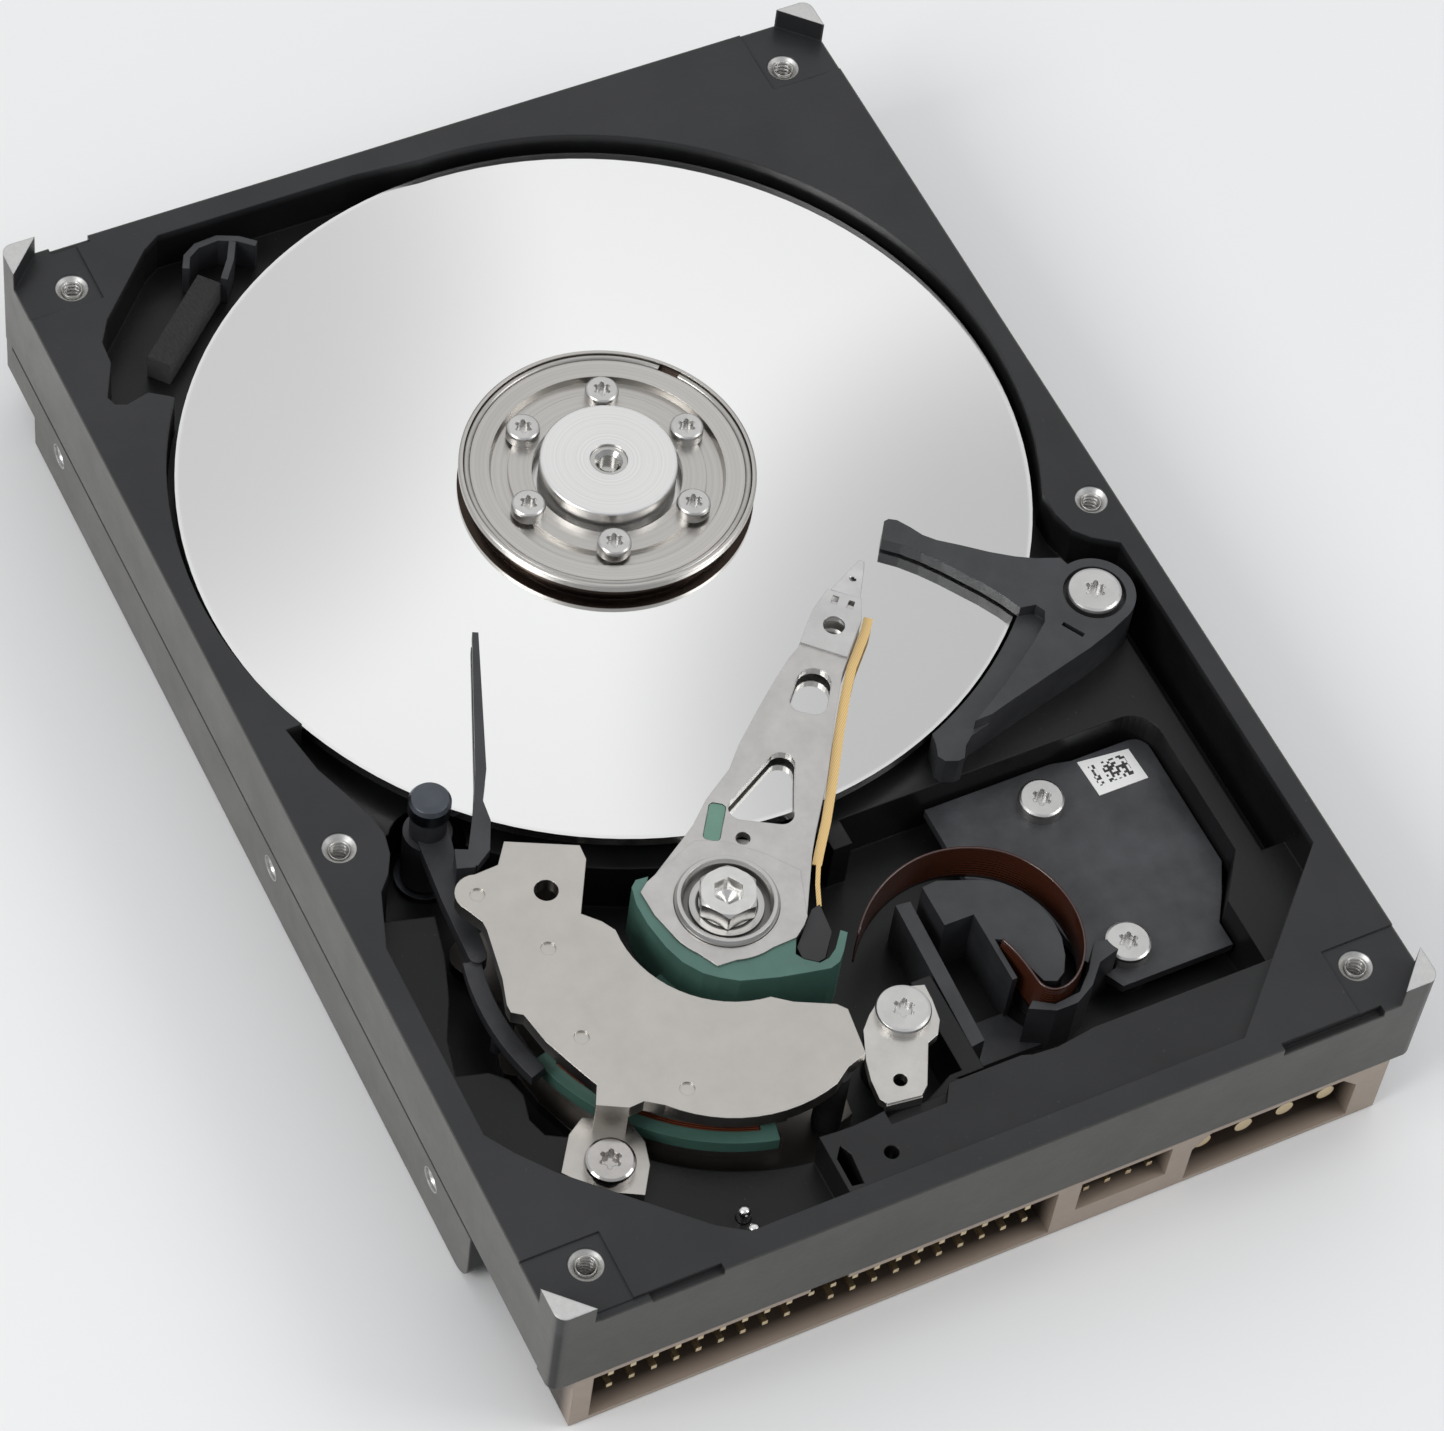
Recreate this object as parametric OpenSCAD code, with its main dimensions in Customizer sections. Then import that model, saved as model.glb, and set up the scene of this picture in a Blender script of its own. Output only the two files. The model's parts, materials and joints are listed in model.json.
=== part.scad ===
// Opened 3.5 inch hard disk drive: cast base, spindle with one platter, head actuator, voice coil motor,
// actuator latch, flex circuit, circuit board and rear connectors.
// Millimetres. Origin at the centre of the underside, +X right and +Y away from the connector end.

/* [Case] */
// Overall width of the casting
case_w = 101.6; // [101.5:0.1:101.8]
// Overall length of the casting
case_l = 147; // [146.8:0.1:147.2]
// Height of the deck that the top cover seats on
deck_z = 21.6; // [21.5:0.1:21.7]
// Height of the machined corner pads
pad_z = 24.2; // [23.8:0.1:24.6]
// Underside of the outer walls, above the connectors
skirt_z = 9.5; // [9.5:0.1:9.7]
// Floor of the disk well
well_floor_z = 15.8; // [15.7:0.05:15.85]
// Floor of the actuator pocket
pocket_floor_z = 8.4; // [8.3:0.1:8.4]

/* [Mounting] */
// Spacing of the bottom screw holes across the drive
bottom_hole_span = 95.25; // [95.25:0.01:95.25]
// Distances of the bottom screw holes from the connector end
bottom_hole_y = [41.28, 85.73];
// Distances of the side screw holes from the connector end
side_hole_y = [28.5, 70.1, 130.1];
// Height of the side screw holes
side_hole_z = 6.35; // [6.3:0.05:6.4]
// Radius of the tapped mounting holes
mount_hole_r = 1.4; // [1.3:0.05:1.5]
// Depth of the tapped mounting holes
mount_hole_depth = 4.6; // [4:0.1:5]

/* [Spindle] */
// Distance of the spindle axis behind the middle of the drive
spindle_y = 21.5; // [21.5:0.1:21.6]
// Radius of the disk well
well_r = 48.4; // [48.2:0.1:48.5]
// Outer radius of the platter
platter_r = 47.5; // [47.3:0.1:47.6]
// Thickness of the platter
platter_t = 1.27; // [1.2:0.01:1.3]
// Height of the platter's top face
platter_z = 19.5; // [19.45:0.01:19.55]

/* [Actuator] */
// Pivot of the actuator across the drive
pivot_x = -13.1; // [-13.2:0.1:-13]
// Pivot of the actuator along the drive
pivot_y = -34.8; // [-34.9:0.1:-34.7]
// Direction of the arms from the +X axis, in degrees
arm_angle = 45.9; // [44:0.1:47]
// Thickness of one arm
arm_t = 1; // [0.9:0.05:1]
// Half angle of the coil former, in degrees
coil_half_angle = 31.5; // [30:0.5:32]
// Outer radius of the coil former about the pivot
coil_outer_r = 25.5; // [25:0.1:25.6]

/* [Screws] */
// Shank radius of the inner screws
screw_shank_r = 1.2; // [1.1:0.05:1.2]
// Radius of the cover screw holes
cover_hole_r = 1.15; // [1.1:0.05:1.3]

/* [Connectors] */
// Pitch of the interface and jumper pins
pin_pitch = 2.54; // [2.54:0.01:2.54]
// Pitch of the power pins
power_pitch = 5.08; // [5.08:0.01:5.08]
// Width of a square contact pin
pin_w = 0.64; // [0.6:0.02:0.68]

/* [Hidden] */
$fn = 96;

gap = 0.05;
half_w = case_w / 2;
half_l = case_l / 2;
cover_hole_x = 44.7;
cover_hole_y = 67.3;
side_cover_holes = [[-47.4, -12.8], [48, -2.8]];
floor_under_z = 5.6;
upper_arm_z = 20.2;
hub_top_z = 22;
yoke_top_z = 22.4;
yoke_t = 1.9;
lower_yoke_t = 1.8;
magnet_t = 2.4;
coil_z = 13.1;
coil_t = 3;
yoke_foot_z = 17.3;
coil_clear_r = 26;
bracket_z = 10.8;
bracket_t = 1.2;
latch_axis = [-36.8, -12.1];
bolt_circle_r = 10.5;
screw_start_angle = 8.3;
connector_back_y = -61.7;
connector_front_y = -73.5;
socket_depth = 8.6;
pin_inset = 1;
board_z = 3.2;
board_t = 1.6;

function arc(c, r, a0, a1, n) =
    [for (i = [0 : n]) let (a = a0 + (a1 - a0) * i / n) [c[0] + r * cos(a), c[1] + r * sin(a)]];

// Outline of a sector ring about the origin, half as wide as half_a to each side of direction mid_a
function fan(r0, r1, mid_a, half_a) =
    concat(arc([0, 0], r1, mid_a - half_a, mid_a + half_a, 24),
           arc([0, 0], r0, mid_a + half_a, mid_a - half_a, 24));

// Points on a cubic curve, without its last one
function bezier(a, b, c, d, n) =
    [for (i = [0 : n - 1]) let (t = i / n, s = 1 - t)
        s * s * s * a + 3 * s * s * t * b + 3 * s * t * t * c + t * t * t * d];

function unit(v) = v / norm(v);

// Outline of a strip of thickness t along a path of points
function strip(path, t) =
    let (n = len(path) - 1,
         side = [for (i = [0 : n])
             let (d = unit(path[min(i + 1, n)] - path[max(i - 1, 0)])) [-d[1], d[0]] * t / 2])
    concat([for (i = [0 : n]) path[i] + side[i]], [for (i = [n : -1 : 0]) path[i] - side[i]]);

module slab(z0, z1) {
    translate([0, 0, z0]) linear_extrude(z1 - z0) children();
}

module at_spindle() {
    translate([0, spindle_y, 0]) children();
}

module at_pivot() {
    translate([pivot_x, pivot_y, 0]) children();
}

// Frame of the actuator: +X along the arms, origin at the pivot
module on_actuator() {
    at_pivot() rotate([0, 0, arm_angle]) children();
}

// The children, and their mirror image below the platter
module above_and_below_disk() {
    children();
    translate([0, 0, 2 * platter_z - platter_t]) mirror([0, 0, 1]) children();
}

module both_sides() {
    children();
    mirror([1, 0, 0]) children();
}

// Outline of a six-lobed screw drive
module six_lobe(r) {
    circle(r = 0.72 * r);
    for (i = [0 : 5]) rotate(60 * i) translate([0.78 * r, 0]) circle(r = 0.22 * r);
}

// Pan-head screw standing on z0
module pan_screw(z0, head_r, head_h, shank_r, shank_l, drive_r) {
    difference() {
        union() {
            translate([0, 0, z0 - shank_l]) cylinder(r = shank_r, h = shank_l + 0.01);
            rotate_extrude()
                polygon([[0, z0], [head_r, z0], [head_r, z0 + head_h * 0.7], [head_r * 0.96, z0 + head_h * 0.9],
                         [head_r * 0.86, z0 + head_h], [0, z0 + head_h]]);
        }
        slab(z0 + head_h * 0.4, z0 + head_h + 1) six_lobe(drive_r);
    }
}

// ---------------------------------------------------------------- casting

module case_outline() {
    r = 1.3;
    square([case_w - 2 * r, case_l], center = true);
    square([case_w, case_l - 2 * r], center = true);
    for (sx = [-1, 1]) for (sy = [-1, 1])
        translate([sx * (half_w - r), sy * (half_l - r)]) circle(r = r);
}

// Everything inside the deck in front of the disk well
module actuator_side_outline() {
    polygon([[-46.6, 3], [-45.5, -3], [-44, -7], [-42.8, -10.5], [-42.3, -13], [-42.8, -15.5],
             [-44, -17.7], [-45.6, -19.5], [-47.9, -26], [-47.9, -50], [-46, -53], [-43, -56.8],
             [-31, -68.5], [-28, -70.5], [29.3, -70.5], [48.2, -52.2], [48.2, -9.4], [47.4, -8.8],
             [45.5, -7.5], [44, -5.8], [43.3, -3], [43.4, 3]]);
}

// Pocket of the recirculation filter, in the rear left corner
module filter_pocket_outline() {
    polygon([[0, 69.8], [-9, 70.6], [-33, 70.6], [-35.2, 69.2], [-42.9, 61.4], [-44.6, 58.6], [-44.8, 55.6],
             [-47, 51.2], [-46.6, 50], [-45.4, 49.5], [-42.6, 50.2], [-40.7, 48.9], [-30, 40], [0, 60]]);
}

// Lower shelf around the pockets, level with the floor of the disk well
module shelf_outline() {
    difference() {
        actuator_side_outline();
        polygon([[-16.5, -71], [-16.5, -62.8], [37.2, -62.8], [42.4, -57.8], [49, -51.5], [49, -71]]);
    }
}

// Deep pocket that holds the voice coil motor, the pivot and the latch
module motor_pocket_outline() {
    difference() {
        union() {
            at_pivot() circle(r = 28.6);
            polygon([[-30, -8], [-42, -10.2], [-42.3, -13], [-42.8, -15.5], [-44, -17.7], [-45.6, -19.6],
                     [-39.9, -21.1], [-41, -26],
                     [-42.8, -31], [-45, -35.4], [-46, -39.7], [-42.7, -40.6], [-41.1, -42.2], [-40.5, -44.4],
                     [-41.2, -47.3], [-40.5, -49.5], [-38.6, -50.6], [-34, -50.6], [-30, -24]]);
            polygon([[-13, -24], [2.6, -24], [2.6, -59.6], [-11.6, -59.6], [-13, -57]]);
        }
        at_spindle() circle(r = well_r + 0.5);
        polygon([[2.6, -20], [40, -20], [40, -66], [2.6, -66]]);
    }
    translate(latch_axis) circle(r = 4.1);
    // gap in the wall for the flex ribbon
    polygon([[2, -30], [5.5, -30], [5.5, -48], [2, -48]]);
}

// Deep pocket under the flex circuit bracket
module flex_pocket_outline() {
    corner = 3.5;
    polygon(concat([[4.9, -60.5], [4.9, -26.8]], arc([42.8 - corner, -26.8 - corner], corner, 90, 0, 8),
                   [[42.8, -46.8], [38.8, -52.2], [38.8, -60.5]]));
}

// Shallower bay in front of the flex circuit
module flex_bay_outline() {
    polygon([[1.5, -60.2], [4.9, -62], [8.3, -63.2], [11.1, -63.4], [14.3, -63], [17.6, -62.5], [36.8, -62.3],
             [38.8, -60.4]]);
}

module cover_hole(x, y, z) {
    translate([x, y, z - 7]) cylinder(r = cover_hole_r, h = 8);
    translate([x, y, z - 0.8]) cylinder(r1 = cover_hole_r, r2 = 2.15, h = 1.01);
}

module mounting_holes() {
    for (side = [-1, 1]) {
        for (y = bottom_hole_y)
            translate([side * bottom_hole_span / 2, y - half_l, -1])
                cylinder(r = mount_hole_r, h = mount_hole_depth + 1);
        for (y = side_hole_y)
            translate([side * (half_w + 1), y - half_l, side_hole_z])
                rotate([0, -side * 90, 0]) cylinder(r = mount_hole_r, h = mount_hole_depth + 1);
    }
}

module side_rail() {
    rail_w = 6.4;
    front_y = -54.5;
    back_y = 64;
    end_r = 3;
    difference() {
        translate([half_w - rail_w, front_y, 0]) cube([rail_w, back_y - front_y, skirt_z]);
        translate([half_w - rail_w - 1, front_y - 1, -1]) cube([rail_w + 2, end_r + 1, end_r + 1]);
    }
    translate([half_w - rail_w, front_y + end_r, end_r]) rotate([0, 90, 0]) cylinder(r = end_r, h = rail_w);
    translate([half_w - rail_w, back_y, 4.7]) cube([rail_w, half_l - back_y - 1.3, skirt_z - 4.7]);
}

module corner_pads() {
    leg = 4.2;
    slab(deck_z - 1, pad_z) intersection() {
        case_outline();
        for (sx = [-1, 1]) for (sy = [-1, 1])
            polygon([[sx * half_w, sy * half_l], [sx * (half_w - leg), sy * half_l],
                     [sx * half_w, sy * (half_l - leg)]]);
    }
}

// Steps in the top edges of the end walls: from x, to x, side, depth
edge_steps = [[-46, -40.3, -1, 0.4], [-40.3, -32.3, -1, 0.8], [32.5, 44.7, -1, 1.1], [-45, -40.3, 1, 0.8]];

module base_casting() {
    recess_z = 12.8;
    recess_x = 43;
    step_w = 0.9;
    seam = 0.25;
    color([0.26, 0.27, 0.28])
    difference() {
        union() {
            slab(skirt_z, deck_z) case_outline();
            both_sides() side_rail();
            translate([-45, connector_back_y + 0.2, floor_under_z])
                cube([90, half_l - connector_back_y - 0.4, skirt_z - floor_under_z + 0.5]);
        }
        // recesses seen from above
        at_spindle() translate([0, 0, well_floor_z]) cylinder(r = well_r, h = 20);
        slab(deck_z - 0.8, deck_z + 10) actuator_side_outline();
        slab(well_floor_z, deck_z) shelf_outline();
        slab(well_floor_z, deck_z + 10) filter_pocket_outline();
        slab(pocket_floor_z, deck_z) motor_pocket_outline();
        slab(pocket_floor_z, deck_z) flex_pocket_outline();
        slab(11, deck_z) flex_bay_outline();
        slab(11, deck_z) polygon([[45.4, -48], [48.2, -48], [48.2, -11], [45.4, -11]]);
        at_spindle() translate([0, 0, 8.6]) cylinder(r = 17, h = 20);
        at_spindle() translate([0, 0, 0]) cylinder(r = 6, h = 20);
        // small pit in the front shelf
        slab(10.5, deck_z) polygon([[-15, -64.9], [-16, -66.2], [-16, -69.6], [-14.7, -69.8], [-14.4, -66.3]]);
        // shallow squares round the corner screws, and steps in the end walls
        for (sx = [-1, 1]) for (sy = [-1, 1]) {
            translate([sx * 46.9 - 4.9, sy * 69.5 - 5, deck_z - 0.25]) cube([9.8, 10, 5]);
            cover_hole(sx * cover_hole_x, sy * cover_hole_y, deck_z - 0.25);
        }
        for (e = edge_steps)
            translate([e[0], e[2] * half_l - step_w, deck_z - e[3]]) cube([e[1] - e[0], 2 * step_w, 5]);
        for (p = side_cover_holes) cover_hole(p[0], p[1], deck_z);
        mounting_holes();
        // parting line of the mould along both sides
        for (sx = [-1, 1])
            translate([sx * half_w - seam, -half_l + 3, skirt_z]) cube([2 * seam, case_l - 6, 0.5]);
        // recesses seen from below
        difference() {
            translate([-recess_x, 0, -1]) cube([2 * recess_x, 68, recess_z + 1]);
            at_spindle() cylinder(r = 20, h = 20);
            translate([-1.5, 0, 0]) cube([3, 70, 20]);
            translate([-50, spindle_y - 1.5, 0]) cube([100, 3, 20]);
        }
        // seat of the small bracket on the front shelf
        slab(18.8, deck_z) polygon([[-9, -64.8], [-2.6, -64.8], [-0.8, -62], [-0.8, -59], [-9, -59]]);
        // way through the floor for the head connector, and holes for the fasteners
        translate([20.2, -44.6, 0]) cube([20.5, 7.2, 20]);
        for (p = board_screw_places) translate([p[0], p[1], 0]) cylinder(r = screw_shank_r + gap, h = 7.8);
        at_pivot() translate([0, 0, 6]) cylinder(r = 2 + gap, h = 9);
        translate([latch_axis[0], latch_axis[1], 6]) cylinder(r = 1.2 + gap, h = 9);
        translate([air_dam_axis[0], air_dam_axis[1], 9]) cylinder(r = screw_shank_r + gap, h = 9);
        translate([yoke_foot_axis[0], yoke_foot_axis[1], 9]) cylinder(r = screw_shank_r + gap, h = 9);
        for (p = locating_pin_places) translate([p[0], p[1], 12]) cylinder(r = 0.75 + gap, h = 9);
    }
    color([0.26, 0.27, 0.28]) corner_pads();
    // posts that stand on the pocket floors
    color([0.26, 0.27, 0.28])
    for (p = bracket_screws) post(p, 3.2, pocket_floor_z, bracket_z);
    color([0.26, 0.27, 0.28]) post(latch_bracket_axis, 3, pocket_floor_z, 19.4);
}

// Round boss with a blind screw hole down its middle
module post(p, r, z0, z1) {
    translate([p[0], p[1], 0]) difference() {
        translate([0, 0, z0 - 0.2]) cylinder(r = r, h = z1 - z0 + 0.2);
        translate([0, 0, z0 + 0.2]) cylinder(r = screw_shank_r + gap, h = z1 - z0 + 1);
    }
}

// ---------------------------------------------------------------- fixed parts in the disk well

// Hooked wall that holds the recirculation filter
module filter_holder() {
    color([0.24, 0.25, 0.26]) slab(well_floor_z, 20) {
        polygon(strip([[-31.4, 66.2], [-30.6, 67.8], [-29, 68.8], [-26.4, 69], [-24.2, 68], [-22.6, 66.6]], 0.8));
        polygon(strip([[-25, 67.9], [-26.2, 65.6], [-28, 63.2]], 0.8));
    }
}

module recirculation_filter() {
    color([0.3, 0.3, 0.3])
    translate([-34.2, 60, well_floor_z]) rotate([0, 0, 42])
        translate([-6.6, -1.4, 0]) cube([13.2, 2.8, 3.4]);
}

// Dark diverter beside the platter: a plate with a finger over the disk, and a wall along the disk's edge
air_dam_axis = [42.2, -14.2];
air_dam_back = [[25.1, 3.3], [25.7, 3.4], [26.5, 2.9], [27.4, 1.5], [28.2, 0], [29.3, -1.2], [31.4, -2.8],
                [34, -4.9], [36.3, -6.5], [38.3, -7.6], [40.9, -8.6]];
air_dam_front = [[33.6, -12.9], [32.6, -10.6], [31.3, -8.3], [29.9, -6.2], [28.5, -4.1], [27, -2.1], [25.4, -0.3],
                 [23.7, 1.2]];
// Crease between the plate and the wall, and the outer edge they share
air_dam_crease = [[22, -24.3], [24.3, -23], [27, -21.4], [29.9, -19.5], [32.7, -17.6], [35.2, -15.6],
                  [35.9, -14.3], [35.4, -13.2]];
air_dam_outer = [[43.8, -18.5], [41.2, -19.6], [38.1, -20.6], [33.3, -21.8], [29.8, -22.7], [27, -23.4],
                 [24.1, -24.2]];
module air_dam() {
    plate_z = platter_z + 0.35;
    color([0.3, 0.31, 0.32])
    difference() {
        union() {
            slab(plate_z, deck_z) {
                polygon(concat(air_dam_back, air_dam_outer, air_dam_crease, air_dam_front));
                translate(air_dam_axis) circle(r = 4.6);
            }
            slab(well_floor_z, plate_z + 0.1) {
                polygon(concat(arc([0, spindle_y], platter_r + 0.45, -45, -68.5, 16),
                               [[17.3, -24.5], [16.8, -25.9], [17.3, -26.8], [18.6, -27.3], [19.4, -27.2],
                                [20.3, -25.8], [21.5, -24.9]], [for (i = [6 : -1 : 0]) air_dam_outer[i]]));
                difference() {
                    translate(air_dam_axis) circle(r = 4.6);
                    at_spindle() circle(r = platter_r + 0.45);
                }
            }
        }
        translate([air_dam_axis[0], air_dam_axis[1], 0]) cylinder(r = screw_shank_r + 0.2, h = 40);
        translate([air_dam_axis[0], air_dam_axis[1], deck_z - 0.9]) cylinder(r = 3.5, h = 10);
        // slot of the nib beside the screw
        slab(deck_z - 0.8, 24) translate([37.6, -17.7]) rotate(-59) square([2.7, 0.55], center = true);
    }
}

module air_dam_screw() {
    color([0.85, 0.85, 0.83])
    translate([air_dam_axis[0], air_dam_axis[1], 0]) pan_screw(deck_z - 0.9, 3.05, 1.5, screw_shank_r, 9, 1.2);
}

// ---------------------------------------------------------------- voice coil motor

// Plan of the upper yoke
module yoke_outline(front_r = 16.4) {
    front = [-17.6, -43.5];
    ear = [-36.8, -23.9];
    polygon(concat([[-24.4, -22.7], [-24.5, -24.5], [-27.9, -30.4], [-26.3, -32.1]],
                   [for (p = arc([0, 0], 12.4, 174.5, 265, 16)) p + [pivot_x, pivot_y]],
                   [[-12.3, -48.6], [-8.3, -50.6], [-7.5, -51.6], [-8.2, -57], [-10.6, -57.8]],
                   arc(front, front_r, 288, 222, 12),
                   [[-31.6, -53.2], [-33.3, -53.3], [-36.3, -51.7], [-35.2, -49.6], [-36.3, -46.9],
                    [-37.8, -42.9], [-38.5, -39.2], [-39.6, -38.4], [-39.6, -37.4], [-38.7, -34.4],
                    [-37.7, -28.4], [-37.7, -27.3]],
                   arc(ear, 2.3, 215, 70, 10),
                   [[-33.3, -21.6], [-31.5, -19.2]]));
}

module rear_leg_outline() {
    polygon([[-31.5, -19.2], [-24.4, -22.7], [-25.2, -24.3], [-32.3, -20.8]]);
}

module vcm_top_plate() {
    color([0.8, 0.78, 0.75])
    difference() {
        union() {
            slab(yoke_top_z - yoke_t, yoke_top_z) yoke_outline();
            // rear leg down to the lower yoke, and front leg down to the foot
            slab(pocket_floor_z + lower_yoke_t, yoke_top_z) rear_leg_outline();
            slab(yoke_foot_z, yoke_top_z) difference() {
                polygon([[-36.3, -51.7], [-33.3, -53.3], [-32.2, -51.4], [-35.2, -49.8]]);
                at_pivot() circle(r = coil_clear_r);
            }
        }
        translate([-30, -26.4, 0]) cylinder(r = 1.3, h = 40);
        for (p = [[-32.8, -32.9], [-34.2, -43.9], [-26.9, -53.6], [-36.8, -24.1]])
            translate([p[0], p[1], yoke_top_z - 0.25]) cylinder(r = 0.8, h = 1);
    }
}

module vcm_bottom_plate() {
    color([0.62, 0.61, 0.6])
    slab(pocket_floor_z, pocket_floor_z + lower_yoke_t) intersection() {
        yoke_outline(front_r = 17.4);
        at_pivot() circle(r = 28.3);
    }
}

module magnet_outline() {
    at_pivot() polygon(fan(12.9, 23.8, 220, 40));
}

module vcm_bottom_magnet() {
    z0 = pocket_floor_z + lower_yoke_t;
    color([0.55, 0.55, 0.57]) slab(z0, z0 + magnet_t) magnet_outline();
}

module vcm_top_magnet() {
    color([0.55, 0.55, 0.57]) slab(coil_z + coil_t + 0.5, yoke_top_z - yoke_t) magnet_outline();
}

// Two posts between the yokes, each with a rubber sleeve, that end the swing
module crash_stops() {
    z0 = pocket_floor_z + lower_yoke_t;
    color([0.15, 0.15, 0.15])
    for (a = [171, 275])
        translate([pivot_x + 22 * cos(a), pivot_y + 22 * sin(a), z0])
            cylinder(r = 1.6, h = yoke_top_z - yoke_t - z0);
}

// Steel plate on the casting that carries the front leg of the upper yoke
yoke_foot_axis = [-36.5, -56.2];
module yoke_foot() {
    color([0.72, 0.7, 0.67])
    difference() {
        slab(well_floor_z, yoke_foot_z)
            polygon([[-41.3, -54.9], [-38.7, -51.2], [-36.6, -49.9], [-32.4, -52.1], [-31.9, -55], [-32.6, -57.6],
                     [-34.6, -60.6], [-38.6, -58.4]]);
        translate([yoke_foot_axis[0], yoke_foot_axis[1], 0]) cylinder(r = screw_shank_r + 0.2, h = 40);
    }
}

module yoke_foot_screw() {
    color([0.85, 0.85, 0.83])
    translate([yoke_foot_axis[0], yoke_foot_axis[1], 0])
        pan_screw(yoke_foot_z, 2.7, 1.6, screw_shank_r, 7, 1.2);
}

// Small plated bracket beside the upper yoke
latch_bracket_axis = [-1.8, -53.4];
module latch_bracket() {
    color([0.8, 0.79, 0.77])
    difference() {
        union() {
            slab(19.4, 20.6)
                polygon([[-3, -50.7], [-0.8, -50.4], [1.9, -51.2], [1.8, -53.2], [1.4, -55.6], [0.4, -57.1],
                         [-1, -57.6], [-3.4, -62], [-4.5, -62.9], [-8.2, -62.4], [-8.7, -61.6], [-8.5, -59.2],
                         [-7.9, -56.9], [-6.5, -53.6], [-5.1, -52.2]]);
            // turned-down end
            slab(18.9, 20.3) polygon([[-4.4, -63], [-8.3, -62.5], [-8.1, -61.4], [-4.1, -61.9]]);
        }
        translate([latch_bracket_axis[0], latch_bracket_axis[1], 0]) cylinder(r = screw_shank_r + 0.2, h = 40);
        translate([-5.7, -60.4, 0]) cylinder(r = 0.75, h = 40);
    }
}

module latch_bracket_screw() {
    color([0.85, 0.85, 0.83])
    translate([latch_bracket_axis[0], latch_bracket_axis[1], 0])
        pan_screw(20.6, 2.95, 1.1, screw_shank_r, 9, 1.2);
}

locating_pin_places = [[-26.1, -66.2], [-26.1, -68.4], [-10.5, -67.7]];
module locating_pins() {
    color([0.9, 0.9, 0.9])
    for (p = locating_pin_places) translate([p[0], p[1], 12.5]) {
        cylinder(r = 0.75, h = 4.4);
        translate([0, 0, 4.4]) sphere(r = 0.75, $fn = 48);
    }
}

// ---------------------------------------------------------------- flex circuit

bracket_screws = [[27.6, -31.5], [27.5, -51.3]];
module flex_bracket() {
    color([0.31, 0.32, 0.33])
    difference() {
        slab(bracket_z, bracket_z + bracket_t)
            polygon(concat([[15.6, -27.2], [31.2, -27.2], [33.5, -27.7]], arc([40.6, -29.6], 1.9, 90, 0, 6),
                           [[42.5, -45.6], [40.5, -49.2], [38.4, -52.4], [38.4, -55.4], [24.9, -55.4],
                            [22.4, -50.6], [21.6, -44], [18.5, -39], [15.6, -37.6]]));
        for (p = bracket_screws) translate([p[0], p[1], 0]) cylinder(r = screw_shank_r + 0.2, h = 40);
        slab(0, 20) guide_rim_outline();
    }
}

module flex_bracket_screws() {
    color([0.85, 0.85, 0.83])
    for (p = bracket_screws) translate([p[0], p[1], 0])
        pan_screw(bracket_z + bracket_t, 2.6, 1.5, screw_shank_r, 3, 1.1);
}

// Connector under the bracket that takes the head signals through the floor to the board
module flex_header() {
    color([0.18, 0.18, 0.18])
        translate([20.5, -44.3, board_z + board_t]) cube([19.9, 6.6, bracket_z - board_z - board_t]);
}

module bar_label() {
    color([0.95, 0.95, 0.95]) slab(bracket_z + bracket_t, bracket_z + bracket_t + 0.12)
        polygon([[34, -28.2], [40.1, -28.8], [40.3, -33], [34.2, -33]]);
}

// Low wall of the guide outside the flex loop
module guide_rim_outline() {
    polygon([[12.4, -55.9], [15.1, -57.3], [17.6, -57.3], [20.1, -56], [22.2, -53.8], [25.3, -53], [25.5, -51.9],
             [22.8, -51.3], [20.6, -54.2], [18.4, -56.2], [15.3, -56.5], [13.3, -55.2]]);
}

// Plastic block inside the flex loop that clamps its fixed end
module flex_guide() {
    color([0.27, 0.28, 0.3]) difference() {
        union() {
            slab(pocket_floor_z, 16.8)
                polygon([[8.8, -38.4], [10.6, -38.3], [12.9, -39.2], [15, -40], [16.8, -41.1], [18.4, -43], [19.4, -45.3],
                         [19.8, -47.6], [19.6, -49.8], [18.9, -51.9], [17.8, -53.7], [16.6, -54.4], [15.3, -53.8],
                         [14.8, -52], [14.4, -49.8], [13.7, -47.6], [12.9, -47.2], [12.9, -52.4], [12.3, -52.4],
                         [12.3, -43.6], [8.8, -43.6]]);
            slab(pocket_floor_z, 15.6)
                polygon([[5.6, -38.7], [7.3, -38.9], [6.6, -57.2], [4.95, -57.4]]);
            slab(pocket_floor_z, 16.2) guide_rim_outline();
            slab(pocket_floor_z, pocket_floor_z + 1) polygon([[5, -57], [5.2, -52], [12.5, -52], [15, -57]]);
        }
        // room for the post and screw of the bracket
        translate([bracket_screws[1][0], bracket_screws[1][1], 0]) cylinder(r = 3.3, h = 20);
    }
}

// Flex ribbon that stands on edge and loops from the actuator to the guide
function flex_route() =
    concat(bezier([-0.6, -41.6], [3.6, -36], [11, -33.4], [17.4, -37.6], 10),
           bezier([17.4, -37.6], [22, -40.6], [23.4, -47.4], [21, -52.1], 8),
           bezier([21, -52.1], [18.9, -56.2], [14.8, -57], [14.3, -54.2], 8),
           bezier([14.3, -54.2], [14.1, -52], [14, -50], [13.2, -48.1], 4),
           [[13.2, -48.1]]);
module flex_cable() {
    color([0.3, 0.16, 0.12]) slab(12.3, 18) polygon(strip(flex_route(), 0.2));
}

// ---------------------------------------------------------------- pivot and latch, fixed parts

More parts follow.
